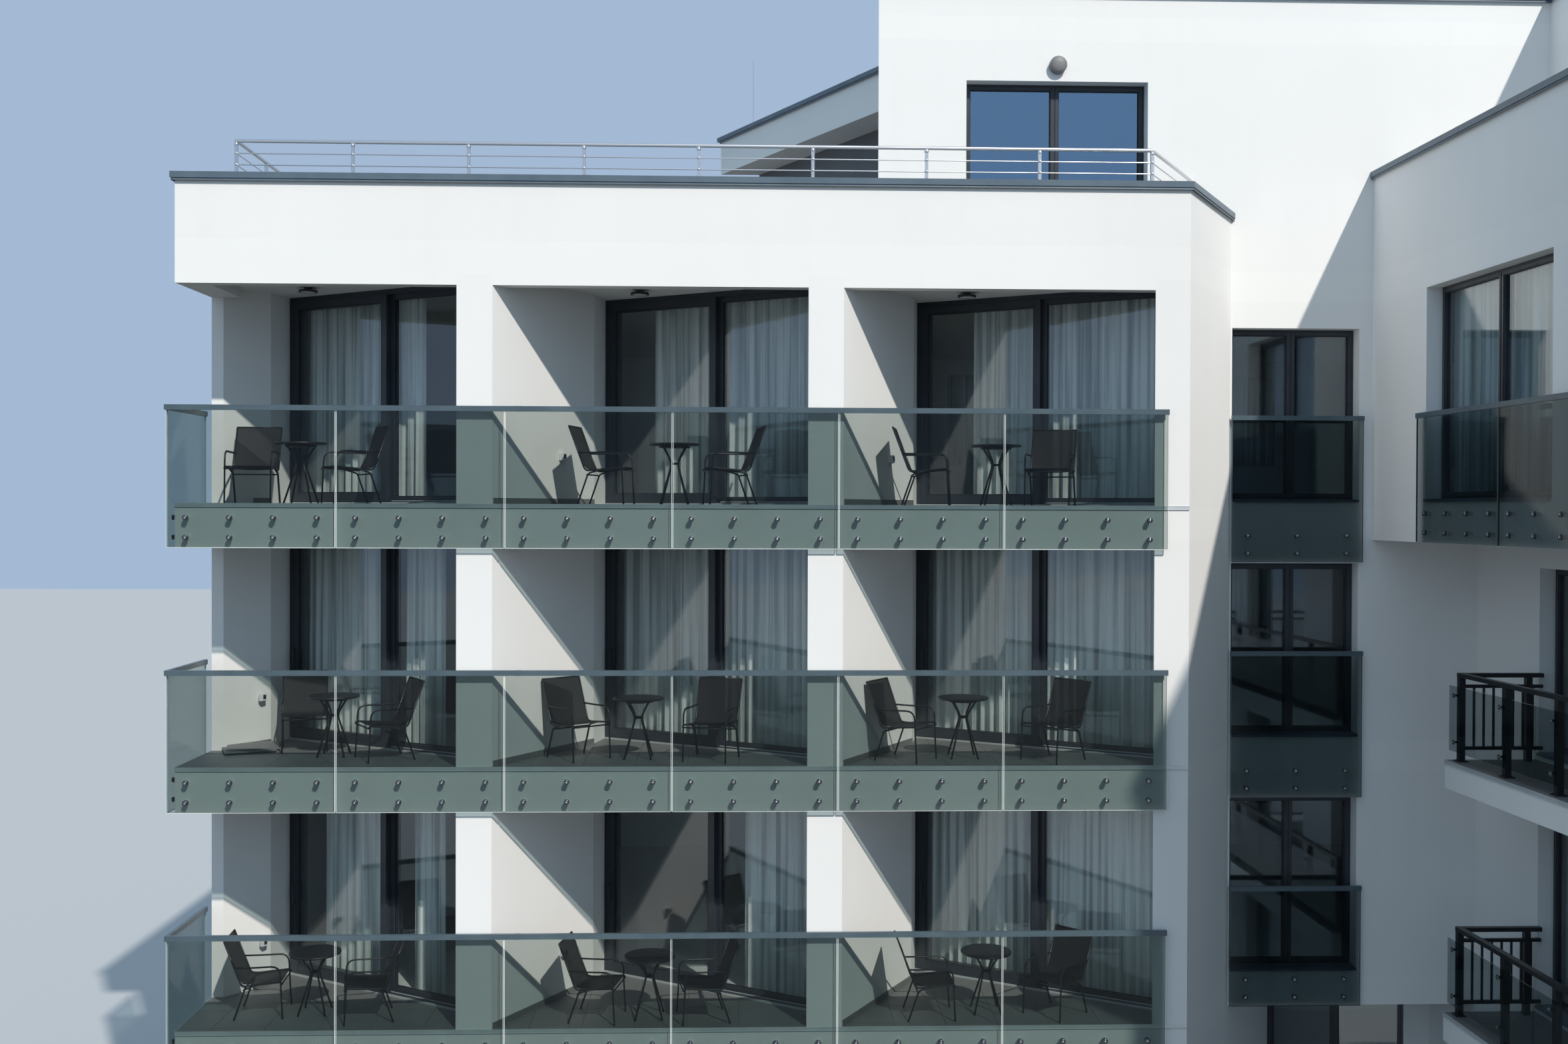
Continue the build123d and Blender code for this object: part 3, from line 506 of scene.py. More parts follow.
def rounded(points, radius, steps=4):
    """A path with its corners eased into curves."""
    path = [Vector(points[0])]
    for before, corner, after in zip(points, points[1:], points[2:]):
        corner, back, ahead = Vector(corner), Vector(before), Vector(after)
        into, away = back - corner, ahead - corner
        start = corner + into.normalized() * min(radius, into.length / 2)
        stop = corner + away.normalized() * min(radius, away.length / 2)
        for n in range(steps + 1):
            t = n / steps
            path.append(start * (1 - t) ** 2 + corner * 2 * t * (1 - t) + stop * t * t)
    path.append(Vector(points[-1]))
    return path


def tube(shape, path, radius, sides=8, flat=1.0):
    """A round or flattened tube along a path, with closed ends."""
    side = None
    rings = []
    for n, point in enumerate(path):
        ahead = path[min(n + 1, len(path) - 1)] - path[max(n - 1, 0)]
        ahead.normalize()
        if side is None:
            side = ahead.orthogonal().normalized() if abs(ahead.y) > 0.9 else Vector((0, 1, 0))
        side = (side - ahead * side.dot(ahead)).normalized()
        other = ahead.cross(side) * flat
        turns = [2 * math.pi * (turn + 0.5) / sides for turn in range(sides)]
        rings.append([point + (side * math.cos(a) + other * math.sin(a)) * radius for a in turns])
    skinned(shape, rings)


def woven(shape, grid):
    """An open sheet over rows of points, and its area."""
    grid = [[shape.verts.new(point) for point in row] for row in grid]
    for upper, lower in zip(grid, grid[1:]):
        for n in range(len(upper) - 1):
            shape.faces.new((upper[n], upper[n + 1], lower[n + 1], lower[n]))
    return sum(face.calc_area() for face in shape.faces)


def pull_handle(shape, face, along, reach, heights, bend, radius, sides):
    """A bent pull handle that stands off a face."""
    low, high = heights
    corners = ((0.0, low), (reach, low), (reach, high), (0.0, high))
    tube(shape, rounded([face.at(along, out, up) for out, up in corners], bend), radius, sides)


# Faces and places that the fittings are set on
def door_face(level, start):
    """The outer face of an oblique sliding door."""
    return Face(start + DOOR_FROM.x, FRONT + DOOR_FROM.y, FLOORS[level], -math.degrees(DOOR_ANGLE))


def splay_face(level, start):
    """The splayed wall on the left of a bay, seen from inside the loggia, from its front edge."""
    return Face(start, FRONT, FLOORS[level], 90 - math.degrees(SPLAY))


def front_face(level):
    """The front of a storey's floor, from its west end."""
    return Face(WEST, FRONT, FLOORS[level], 0)


def west_face(level):
    """The west end of a storey's floor, from its back corner."""
    return Face(WEST, FRONT + WEST_SETBACK, FLOORS[level], -90)


def inner_face(level):
    """The inner corner's wall with its tall windows."""
    return Face(CORNER_EAST, INNER, FLOORS[level], 0)


def wing_edge(level):
    """The west face of the side wing at a storey."""
    if level == LEVELS:
        return WING_UPPER
    return WING_FACE if level == LEVELS - 1 else WING_LOWER


def balcony_posts():
    """Where the posts of a side wing railing stand, from the inner corner."""
    first, last = INNER - BALCONY_FAR + BALCONY_MARGIN, INNER - BALCONY_NEAR - BALCONY_MARGIN
    pitch = (last - first) / (BALCONY_POSTS - 1)
    return [first + n * pitch for n in range(BALCONY_POSTS)]


# Floor tiles, cut to each loggia's plan
def clipped(outline, normal, limit):
    """The part of an outline where the point's product with the normal is at most the limit."""
    kept = []
    for n, point in enumerate(outline):
        before = outline[n - 1]
        inside, was_inside = point.dot(normal) <= limit, before.dot(normal) <= limit
        if inside != was_inside:
            share = (limit - before.dot(normal)) / (point - before).dot(normal)
            kept.append(before.lerp(point, share))
        if inside:
            kept.append(point)
    return kept


def tile_outline(outline, low, high):
    """A tile's own outline within the floor's."""
    left, down = Vector((-1, 0)), Vector((0, -1))
    for normal, limit in ((-left, high.x), (left, -low.x), (-down, high.y), (down, -low.y)):
        outline = clipped(outline, normal, limit)
    return outline


def area(outline):
    """The area of a plan outline."""
    pairs = zip(outline, outline[1:] + outline[:1])
    return abs(sum(a.x * b.y - b.x * a.y for a, b in pairs)) / 2


def loggia_outline(start):
    """The floor of a loggia, inside its walls and its door."""
    far = Vector((start, FRONT, 0)) + DOOR_FROM
    splay_end = Vector((start + SPLAY_DEPTH * SLOPE, FRONT + SPLAY_DEPTH))
    sill = far + Vector((math.cos(DOOR_ANGLE), -math.sin(DOOR_ANGLE), 0)) * DOOR_LENGTH
    right = [Vector((start + OPENING, FRONT)), sill.to_2d(), far.to_2d(), splay_end]
    if start < WEST:
        nose = FRONT + WEST_SETBACK
        return right + [Vector((WEST + WEST_NOSE, nose)), Vector((WEST, nose)), Vector((WEST, FRONT))]
    return right + [Vector((start, FRONT))]


def lay_tiles(shape, outline, top):
    """Square tiles with open joints over an outline, each lifted by a hair."""
    smallest, most_lift = 0.002, 0.0006
    columns, rows = [
        range(math.floor(min(values) / TILE), math.ceil(max(values) / TILE))
        for values in ([p.x for p in outline], [p.y for p in outline])
    ]
    for column in columns:
        for row in rows:
            low = Vector((column * TILE + TILE_GAP / 2, row * TILE + TILE_GAP / 2))
            high = low + Vector((TILE - TILE_GAP, TILE - TILE_GAP))
            cut = tile_outline(outline, low, high)
            if len(cut) > 2 and area(cut) > smallest:
                heights = (top - TILE_THICK, top + random.uniform(0, most_lift))
                skinned(shape, [[Vector((p.x, p.y, height)) for p in cut] for height in heights])


def add_tiles():
    """The dark floor tiles of the loggias, the side wing balconies and the roof terrace."""
    inside = 0.26
    balcony = [(BALCONY_EDGE, BALCONY_NEAR), (WING_LOWER, BALCONY_NEAR)]
    balcony += [(WING_LOWER, BALCONY_FAR), (BALCONY_EDGE, BALCONY_FAR)]
    terrace = [(WEST + inside, FRONT + inside), (EAST - inside, FRONT + inside)]
    terrace += [(CORNER_EAST - inside, INNER), (TOWER_WEST, INNER), BAND_CORNER]
    terrace += [(BAND_REAR, REAR - inside), (WEST + inside, REAR - inside)]
    balcony, terrace = [Vector(p) for p in balcony], [Vector(p) for p in terrace]
    floors = {
        "floor_tiles": [(level, loggia_outline(start)) for level, start in LOGGIAS],
        "balcony_tiles": [(level, balcony) for level in BALCONY_LEVELS],
        "terrace_tiles": [(LEVELS, terrace)],
    }
    for name, outlines in floors.items():
        shape = bmesh.new()
        for level, outline in outlines:
            lay_tiles(shape, outline, FLOORS[level] + TILE_THICK)
        finished(name, shape, dark_tile)


add_tiles()


# Thin metal edges of the floors and dark skirting round the loggias
def add_floor_edges():
    """The metal drip edge along every floor's front and along the balconies."""
    shape = bmesh.new()
    profile = [(0.0, -0.03), (0.006, -0.032), (0.012, -0.036), (0.014, -0.034), (0.008, -0.028)]
    profile += [(0.006, TILE_THICK), (0.0, TILE_THICK)]
    for level in range(1, LEVELS):
        extruded(shape, front_face(level), profile, (0, EAST - WEST))
        extruded(shape, west_face(level), profile, (0, WEST_SETBACK))
    length, width = BALCONY_FAR - BALCONY_NEAR, WING_LOWER - BALCONY_EDGE
    for level in BALCONY_LEVELS:
        corners = [(BALCONY_EDGE, BALCONY_FAR, -90, length), (BALCONY_EDGE, BALCONY_NEAR, 0, width)]
        corners.append((WING_LOWER, BALCONY_FAR, 180, width))
        for x, y, angle, run in corners:
            extruded(shape, Face(x, y, FLOORS[level], angle), profile, (0, run))
    finished("floor_edges", shape, pale_edge)


def add_skirting():
    """Tile skirting along the splayed walls and the piers."""
    shape = bmesh.new()
    high, thick, clear = 0.08, 0.01, 0.02
    for level, start in LOGGIAS:
        begin = (WEST_SETBACK + 0.25) / math.cos(SPLAY) if start < WEST else clear
        sides = (begin, SPLAY_DEPTH / math.cos(SPLAY))
        block(shape, splay_face(level, start), sides, (0, thick), (TILE_THICK, high))
        pier = splay_face(level, start + OPENING)
        block(shape, pier, (clear, 0.5), (-thick, 0), (TILE_THICK, high))
    finished("skirting", shape, dark_tile, 0.0015)


add_floor_edges()
add_skirting()


# Guards
def guard_panes(start, end, count):
    """Glass widths side by side, with open joints between them."""
    pitch = (end - start) / count
    gap = GUARD_JOINT / 2
    return [(start + n * pitch + gap, start + (n + 1) * pitch - gap) for n in range(count)]


def fixing_places(guard):
    """Where the point fixings of a guard's panes are."""
    places = []
    for left, right in guard.panes:
        step = (right - left - 2 * FIXING_MARGIN) / (guard.per_row - 1)
        for n in range(guard.per_row):
            places += [(left + FIXING_MARGIN + n * step, guard.foot + row) for row in FIXING_ROWS]
    return places


front_panes = guard_panes(-GUARD_FACE, GUARD_END - WEST, 6)
west_panes = [(GUARD_JOINT, WEST_SETBACK + STANDOFF - GUARD_JOINT)]
corner_panes = guard_panes(0, INNER_WINDOW[1] + 0.038, 1)
wing_panes = guard_panes(1.433, LINK_SETBACK + WING_REACH - 0.083, 4)

# Every guard, those of the front hiding the slab's edge
FRONT_FOOT = -0.49
guards = []
for level in range(1, LEVELS):
    foot = -0.36 if level == 1 else -0.69
    guards.append(Guard(front_face(level), front_panes, FRONT_FOOT, GUARD_TOP, 4))
    guards.append(Guard(west_face(level), west_panes, FRONT_FOOT, GUARD_TOP, 3))
    guards.append(Guard(inner_face(level), corner_panes, foot, INNER_GUARD_TOP, 3))
guards.append(Guard(Face(WING_FACE, INNER, FLOORS[3], -90), wing_panes, -0.4, GUARD_TOP, 4))


def add_fixing_heads():
    """Domed heads of the point fixings on the glass with a collar behind, in a dark steel as painted
    shade, and a bright steel dot in front as a painted highlight.
    """
    heads, highlight_dots = shapes(2)
    head = [(0.030, 0.0), (0.031, 0.004), (0.030, 0.008), (0.024, 0.0115), (0.010, 0.0120)]
    centre = [(0.010, 0.0115), (0.009, 0.0130), (0.004, 0.0125)]
    collar = [(0.031, 0.0), (0.031, -0.005), (0.027, -0.006)]
    spots = []
    for guard in guards:
        for along, up in fixing_places(guard):
            spots.append((guard.face.at(along, GUARD_FACE, up), guard.face.out))
            lathed(heads, guard.face.at(along, STANDOFF, up), guard.face.out, collar, 12)
    for level in BALCONY_LEVELS:
        face = Face(BALCONY_RAIL - BALCONY_POST / 2, INNER, FLOORS[level], -90)
        for along in balcony_posts():
            spots += [(face.at(along, 0.035 + GUARD_GLASS, up), face.out) for up in (0.24, 0.79)]
    for spot, out in spots:
        lathed(heads, spot, out, head, 16)
        # Bright steel dot at each head's centre: a painted highlight.
        lathed(highlight_dots, spot, out, centre, 10)
    finished("fixing_heads", heads, painted_shade_steel, smooth=True)
    finished("fixing_highlights", highlight_dots, steel, smooth=True)


def add_glass_edges():
    """The polished edges of the guard panes, coloured as painted light: a pale painted glow on those of
    the front and the west end, a dark painted shade on the others.
    """
    pale, dim = shapes(2)
    thin, out = 0.004, (STANDOFF, GUARD_FACE)
    for guard in guards:
        # The front and west edges take the painted glow, the others the painted shade.
        shape = pale if guard.panes in (front_panes, west_panes) else dim
        for left, right in guard.panes:
            block(shape, guard.face, (left - thin, left), out, (guard.foot, guard.top))
            block(shape, guard.face, (right, right + thin), out, (guard.foot, guard.top))
            block(shape, guard.face, (left, right), out, (guard.foot - thin, guard.foot))
    finished("glass_edges", pale, glass_edge)
    finished("corner_glass_edges", dim, painted_shade_edge)


def add_rail_sleeves():
    """Joints of the handrails: a narrow sleeve over each butt, and end caps."""
    shape = bmesh.new()
    out = (STANDOFF - RAIL_LAP - PROUD, GUARD_FACE + RAIL_LAP + PROUD)
    up = (GUARD_TOP - PROUD, GUARD_TOP + RAIL_HEIGHT + PROUD)
    sleeves = [about(butt, 0.035) for butt in (-1.915, 1.082)]
    for level in range(1, LEVELS):
        for sides in sleeves + [(GUARD_END - 0.004, GUARD_END + 0.002)]:
            block(shape, Face(0, FRONT, FLOORS[level], 0), sides, out, up)
    finished("handrail_sleeves", shape, rail_metal, 0.001)


add_fixing_heads()
add_glass_edges()
add_rail_sleeves()


# Sliding doors
def door_panes():
    """The clear sides of the sliding leaf and of the fixed pane: sides, heights, glass depth."""
    leaf = (FRAME_FACE + STILE, DOOR_MIDDLE - STILE / 2)
    fixed = (DOOR_MIDDLE + STILE / 2 + FIXED_RAIL, DOOR_LENGTH - FRAME_FACE - FIXED_RAIL)
    leaf_up = (DOOR_SILL + BOTTOM_RAIL, CLEAR - FRAME_FACE - STILE)
    fixed_up = (DOOR_SILL + FIXED_RAIL, CLEAR - FRAME_FACE - FIXED_RAIL)
    return [(leaf, leaf_up, (TRACK - GLASS) / 2), (fixed, fixed_up, (TRACK + DOOR_DEPTH - GLASS) / 2)]


def add_door_fittings():
    """Leaf edges, gaskets, handles, the track's rail and the threshold of the sliding doors."""
    leaves, gaskets, sills, handles = shapes(4)
    handle = FRAME_FACE + 0.045
    leaf = (FRAME_FACE, DOOR_MIDDLE + STILE / 2)
    threshold, rail = (0.01, DOOR_LENGTH - 0.01), (DOOR_MIDDLE + STILE, DOOR_LENGTH - FRAME_FACE)
    for level, start in LOGGIAS:
        face = door_face(level, start)
        ring(leaves, face, leaf, (DOOR_SILL, CLEAR - FRAME_FACE), STILE - 0.012, (0.0, 0.008))
        for sides, heights, depth in door_panes():
            ring(gaskets, face, sides, heights, 0.009, (-depth, -depth + 0.005))
        block(sills, face, threshold, (0.0, 0.045), (TILE_THICK, 0.03))
        block(sills, face, rail, (-0.04, -0.03), (DOOR_SILL, 0.052))
        pull_handle(handles, face, handle, 0.05, (0.94, 1.16), 0.02, 0.010, 10)
        block(handles, face, about(handle, 0.015), (0.0, 0.011), (0.90, 1.20))
    finished("door_leaf_edges", leaves, frame_metal, 0.002)
    finished("door_gaskets", gaskets, rubber)
    finished("door_thresholds", sills, pale_edge, 0.003, 2)
    finished("door_handles", handles, frame_metal)


add_door_fittings()

# Every window
windows = []
rear_pitch = (WING_EAST - WEST - WALL) / 5
side_pitch = (REAR - WALL - WING_FRONT) / 4
rear_limit = WING_EAST - BAND_REAR - 0.3 / math.cos(BAND_ANGLE) - 0.3
for level in range(LEVELS + 1):
    head = UPPER_WING_HEAD if level == LEVELS - 1 else HEAD
    for bay in range(2):
        left = 1.521 + bay * BAY
        face = Face(wing_edge(level), INNER, FLOORS[level], -90)
        windows.append(Window(f"wing_{level}_{bay}", face, (left, left + WING_WINDOW), LOW_SILL, head))
    for n in range(4):
        face = Face(WING_EAST, WING_FRONT, FLOORS[level], 90)
        sides = about((n + 0.5) * side_pitch, REAR_WINDOW / 2)
        windows.append(Window(f"east_{level}_{n}", face, sides, HIGH_SILL, HEAD))
    for n in range(5):
        face = Face(WING_EAST, REAR, FLOORS[level], 180)
        sides = about((n + 0.5) * rear_pitch, REAR_WINDOW / 2)
        if level < LEVELS or sides[1] < rear_limit:
            windows.append(Window(f"rear_{level}_{n}", face, sides, HIGH_SILL, HEAD))
for level in range(1, LEVELS):
    windows.append(Window(f"inner_{level}", inner_face(level), INNER_WINDOW, LOW_SILL, HEAD))
terrace_door = Window("terrace", Face(TOWER_WEST, INNER, FLOORS[-1], 0), (1.116, 3.432), 0.06, 2.4)
windows.append(terrace_door)


def sashes(sides):
    """The two glazed widths of a window."""
    middle = sum(sides) / 2
    return [(sides[0] + WINDOW_FACE, middle - MULLION / 2), (middle + MULLION / 2, sides[1] - WINDOW_FACE)]


def add_window_fittings():
    """Sash edges, gaskets and outside sills of the windows."""
    edges, gaskets, sills = shapes(3)
    sash, edge_out = 0.045, (-REVEAL, -REVEAL + 0.010)
    for window in windows:
        low, high = window.sill + WINDOW_FACE, window.head - WINDOW_FACE
        for left, right in sashes(window.sides):
            outer, heights = (left - sash, right + sash), (low - sash, high + sash)
            ring(edges, window.face, outer, heights, 0.037, edge_out)
            out = (-PANE_DEPTH, -PANE_DEPTH + 0.005)
            ring(gaskets, window.face, (left, right), (low, high), 0.008, out)
        profile = [(-REVEAL, 0.012), (-REVEAL, 0.009), (0.026, 0.0), (0.026, -0.028)]
        profile += [(0.029, -0.028), (0.029, 0.003)]
        profile = [(out, window.sill + up) for out, up in profile]
        left, right = window.sides
        extruded(sills, window.face, profile, (left + 0.002, right - 0.002))
    finished("sash_edges", edges, frame_metal, 0.002)
    finished("window_gaskets", gaskets, rubber)
    finished("window_sills", sills, coping_metal)


def add_entrance_fittings():
    """Pull handles, leaf edges, gaskets and the threshold of the entrance doors."""
    recess, width, transom = 4.069, 1.822, 2.4
    face = Face(EAST + recess * SLOPE, FRONT + recess, FLOORS[0], -math.degrees(DOOR_ANGLE))
    edges, gaskets, handles = shapes(3)
    panes = sashes((0, width))
    for left, right in panes:
        for heights in ((WINDOW_FACE, transom), (transom + WINDOW_FACE, CLEAR - WINDOW_FACE)):
            ring(gaskets, face, (left, right), heights, 0.008, (-0.028, -0.023))
        ring(edges, face, (left - 0.04, right + 0.04), (0.03, transom + 0.04), 0.034, (0.0, 0.009))
    for along in (panes[0][1] + 0.02, panes[1][0] - 0.02):
        pull_handle(handles, face, along, 0.07, (0.8, 1.5), 0.03, 0.014, 12)
    block(edges, face, (0, width), (0.0, 0.05), (0.0, 0.018))
    finished("entrance_leaf_edges", edges, frame_metal, 0.002)
    finished("entrance_gaskets", gaskets, rubber)
    finished("entrance_handles", handles, steel, smooth=True)


def add_painted_sky_reflection():
    """A thin blue mirroring sheet over the terrace door's panes: a painted reflection of the sky."""
    shape = bmesh.new()
    margin = WINDOW_FACE + 0.009
    heights = (terrace_door.sill + margin, terrace_door.head - margin)
    for left, right in sashes(terrace_door.sides):
        out = (-PANE_DEPTH + 0.0002, -PANE_DEPTH + 0.0022)
        block(shape, terrace_door.face, (left + 0.009, right - 0.009), out, heights)
    finished("terrace_panes", shape, painted_sky_reflection)


add_window_fittings()
add_entrance_fittings()
add_painted_sky_reflection()

# Curtains
PLEAT = 0.13
PLEAT_DEPTH = 0.028
PLEAT_FLARE = 0.016
PLEAT_COLUMNS = 8
CURTAIN_ROWS = 6
DOOR_CURTAIN = DOOR_DEPTH + 0.12
WINDOW_CURTAIN = REVEAL + WINDOW_DEPTH + 0.10
LEFT = (0.10, DOOR_MIDDLE - 0.02)
RIGHT = (DOOR_MIDDLE + 0.02, DOOR_LENGTH - 0.10)

# Drawn curtains of a loggia door, by level and bay: the pane, and where on it they start and stop
FULLY_DRAWN = [(LEFT, 0, 1), (RIGHT, 0, 1)]
DRAWN = {
    (3, 0): [(LEFT, 0, 1), (RIGHT, 0, 0.28)],
    (3, 1): [(LEFT, 0.32, 1), (RIGHT, 0, 1)],
    (3, 2): [(LEFT, 0.38, 1), (RIGHT, 0, 1)],
    (2, 0): [(LEFT, 0, 1), (RIGHT, 0.08, 0.5)],
    (1, 0): [(LEFT, 0.2, 1), (RIGHT, 0.15, 0.48)],
    (1, 1): [(RIGHT, 0.2, 1)],
    (0, 0): [(LEFT, 0, 1), (RIGHT, 0.4, 1)],
    (0, 1): [(LEFT, 0, 0.6), (RIGHT, 0, 1)],
}


def add_curtain(name, face, sides, heights, behind, cloth):
    """A pleated curtain behind a pane: folds deepen towards the hem, and it is cut wider."""
    left, right = sides
    low, high = heights
    phase = random.uniform(0, 6.28)
    pleats = max(3, round((right - left) / PLEAT))
    columns = pleats * PLEAT_COLUMNS
    grid = []
    for row in range(CURTAIN_ROWS + 1):
        fall = row / CURTAIN_ROWS
        depth = PLEAT_DEPTH + PLEAT_FLARE * fall
        grid.append([])
        for column in range(columns + 1):
            share = column / columns
            turn = 2 * math.pi * pleats * share + phase
            swing = 0.5 * math.sin(3.1 * share + phase) + 0.25 * math.sin(9.7 * share + 2 * phase)
            fold = math.sin(turn + 0.6 * swing) + 0.35 * math.sin(2 * turn + phase)
            sway = depth * fold * (0.8 + 0.45 * swing)
            along = left + (right - left) * share + 0.006 * math.sin(2 * turn)
            grid[-1].append(face.at(along, -behind + sway, high + (low - high) * fall))
    shape = bmesh.new()
    cloth_area = woven(shape, grid)
    piece = finished(name, shape, cloth, smooth=True)


def add_tracks():
    """The curtain tracks of the doors and of the windows."""
    shape = bmesh.new()
    for level, start in LOGGIAS:
        sides, out = (0.08, DOOR_LENGTH - 0.08), about(-DOOR_CURTAIN, 0.02)
        block(shape, door_face(level, start), sides, out, (CLEAR - 0.02, CLEAR))
    for window in windows:
        sides, out = (window.sides[0] - 0.02, window.sides[1] + 0.02), about(-WINDOW_CURTAIN, 0.02)
        block(shape, window.face, sides, out, (window.head + 0.05, window.head + 0.07))
    finished("curtain_tracks", shape, white_plastic, 0.004)


def add_curtains():
    """The drawn curtains of the doors and of the windows."""
    for level in reversed(range(LEVELS)):
        for bay, bay_start in enumerate(STARTS):
            face, drawn = door_face(level, bay_start), DRAWN.get((level, bay), FULLY_DRAWN)
            for n, ((left, right), start, stop) in enumerate(drawn):
                sides = (left + (right - left) * start, left + (right - left) * stop)
                name, heights = f"door_curtain_{level}_{bay}_{n}", (0.03, CLEAR - 0.02)
                add_curtain(name, face, sides, heights, DOOR_CURTAIN, curtain_cloth)
    for window in windows:
        if not window.name.startswith(("terrace", "inner")):
            heights = (max(window.sill - 0.15, 0.02), window.head + 0.05)
            cloth = curtain_cloth if window.name.startswith("wing") else lining_cloth
            name = f"curtain_{window.name}"
            add_curtain(name, window.face, window.sides, heights, WINDOW_CURTAIN, cloth)


add_tracks()
add_curtains()


# Copings
def coping_runs():
    """Straight coping runs: start, end and height of the underside."""
    terrace = [(WEST, REAR), (WEST, FRONT), (EAST, FRONT), (CORNER_EAST, INNER)]
    wing = [(WING_FACE, INNER), (WING_FACE, WING_FRONT), (WING_UPPER, WING_FRONT)]
    roof = [(TOWER_WEST, INNER), (WING_UPPER, INNER), (WING_UPPER, WING_FRONT)]
    roof += [(WING_EAST, WING_FRONT), (WING_EAST, REAR), (BAND_END, REAR)]
    roof += [(NOTCH_EAST, FRONT + NOTCH), (TOWER_WEST, INNER)]
    runs = []
    for corners, height in ((terrace, PARAPET), (wing, WING_PARAPET), (roof, ROOF_EDGE)):
        runs += [(a, b, FLOORS[-1] + height) for a, b in zip(corners, corners[1:])]
    return runs


def add_coping_details():
    """Drip lips under the copings and a cover strap over each joint."""
    lips, straps = shapes(2)
    lip = [(0.028, 0.0), (0.030, -0.020), (0.036, -0.028), (0.040, -0.026), (0.036, -0.018)]
    lip.append((0.034, 0.0))
    out = (-PARAPET_THICK - COPING_IN - PROUD, COPING_OUT + PROUD)
    sheet_length, strap, lap = 2.4, 0.04, 0.02
    for (ax, ay), (bx, by), low in coping_runs():
        run = math.hypot(bx - ax, by - ay)
        face = Face(ax, ay, low, math.degrees(math.atan2(by - ay, bx - ax)))
        extruded(lips, face, lip, (-lap, run + lap))
        count = max(1, round(run / sheet_length))
        for n in range(1, count):
            block(straps, face, about(n * run / count, strap), out, (-0.001, COPING + PROUD))
    finished("coping_lips", lips, coping_metal)
    finished("coping_straps", straps, coping_metal, 0.001)


def add_rear_parapet_end(name, near, far, heights, made):
    """The last part of the rear parapet or of its coping, up to the slanted dark grey wall."""
    plan = [(BAND_END, near), (BAND_REAR + (REAR - near) * BAND_SLOPE, near)]
    plan += [(BAND_REAR + (REAR - far) * BAND_SLOPE, far), (BAND_END, far)]
    shape = bmesh.new()
    skinned(shape, [[Vector((x, y, FLOORS[-1] + height)) for x, y in plan] for height in heights])
    finished(name, shape, made, 0.002)


add_coping_details()
wall_inside = REAR - PARAPET_THICK
add_rear_parapet_end("rear_parapet_end", wall_inside, REAR, (0, PARAPET), white_render)
add_rear_parapet_end(
    "rear_coping_end", wall_inside - COPING_IN, REAR + COPING_OUT, (PARAPET, PARAPET + COPING),
    coping_metal,
)


# Railings
def bolted_plate(shape, face, along, half, thick):
    """A foot plate with four bolt heads, flat on a floor."""
    bolt, bolt_place = [(0.011, 0.0), (0.011, 0.006), (0.008, 0.008)], half * 0.62
    block(shape, face, about(along, half), about(0, half), (0, thick))
    for bolt_along in about(along, bolt_place):
        for out in about(0, bolt_place):
            lathed(shape, face.at(bolt_along, out, thick), UP, bolt, 6)


def add_railing_feet():
    """Foot plates of the terrace railing and of the side wing railings, and wire clamps."""
    feet, clamps, black_feet = shapes(3)
    clamp = [(0.014, 0.0), (0.014, 0.005), (0.009, 0.008)]
    collar = [(0.022, 0.0), (0.026, 0.010), (0.018, 0.040)]
    plate, plate_thick = 0.05, 0.016
    face = Face(0, RAIL_Y, FLOORS[-1], 0)
    for n in range(RAIL_POSTS):
        x = RAIL_WEST + n * (RAIL_EAST - RAIL_WEST) / (RAIL_POSTS - 1)
        bolted_plate(feet, face, x, plate, plate_thick)
        for below in (0.163, 0.294):
            lathed(clamps, face.at(x, 0.018, RAIL_TOP - below), face.out, clamp, 12)
        lathed(clamps, face.at(x, 0, RAIL_TOP - 0.075), UP, collar, 12)
    side = Face(RAIL_WEST, RAIL_Y, FLOORS[-1], 90)
    for n in range(1, SIDE_POSTS + 1):
        bolted_plate(feet, side, n * (DEPTH - sum(RAIL_SET_IN)) / SIDE_POSTS, plate, plate_thick)
    for level in BALCONY_LEVELS:
        face = Face(BALCONY_RAIL, INNER, FLOORS[level] + TILE_THICK, -90)
        for along in balcony_posts():
            bolted_plate(black_feet, face, along, 0.065, 0.012)
    finished("railing_feet", feet, steel, 0.002)
    finished("railing_clamps", clamps, steel, smooth=True)
    finished("balcony_feet", black_feet, black_metal, 0.002)


add_railing_feet()


# Lamps, sockets and loose tiles
def add_lamps():
    """Opal discs and rims of the ceiling lamps, and the grey cap and rim of the wall lamp."""
    discs, rims, caps = shapes(3)
    disc = [(0.092, 0.0), (0.090, 0.006), (0.06, 0.012), (0.01, 0.014)]
    rim = [(0.1105, -0.02), (0.1125, 0.002), (0.108, 0.006), (0.094, 0.004)]
    cap = [(0.096, 0.0), (0.095, 0.010), (0.088, 0.016), (0.02, 0.018)]
    cap_rim = [(0.1085, -0.02), (0.110, 0.0), (0.104, 0.008), (0.09, 0.006)]
    for level, start in LOGGIAS:
        spot = Vector((start + 1.597, FRONT + 1.21, FLOORS[level] + CLEAR - 0.055))
        lathed(discs, spot, -UP, disc, 32)
        lathed(rims, spot, -UP, rim, 32)
    face = terrace_door.face
    spot = face.at(sum(terrace_door.sides) / 2, 0.07, terrace_door.head + 0.195)
    for profile in (cap, cap_rim):
        lathed(caps, spot, face.out, profile, 32)
    finished("lamp_discs", discs, opal, smooth=True)
    finished("wall_lamp_cap", caps, grey_lamp, smooth=True)
    finished("lamp_rims", rims, lamp_metal, smooth=True)


# Outdoor sockets: level, bay, distance along the splayed wall and height above the floor
SOCKETS = [(3, 1, 1.294, 0.588), (3, 2, 1.261, 0.571), (2, 0, 1.828, 0.617), (1, 0, 1.845, 0.576)]
SOCKETS.append((1, 1, 1.340, 0.555))


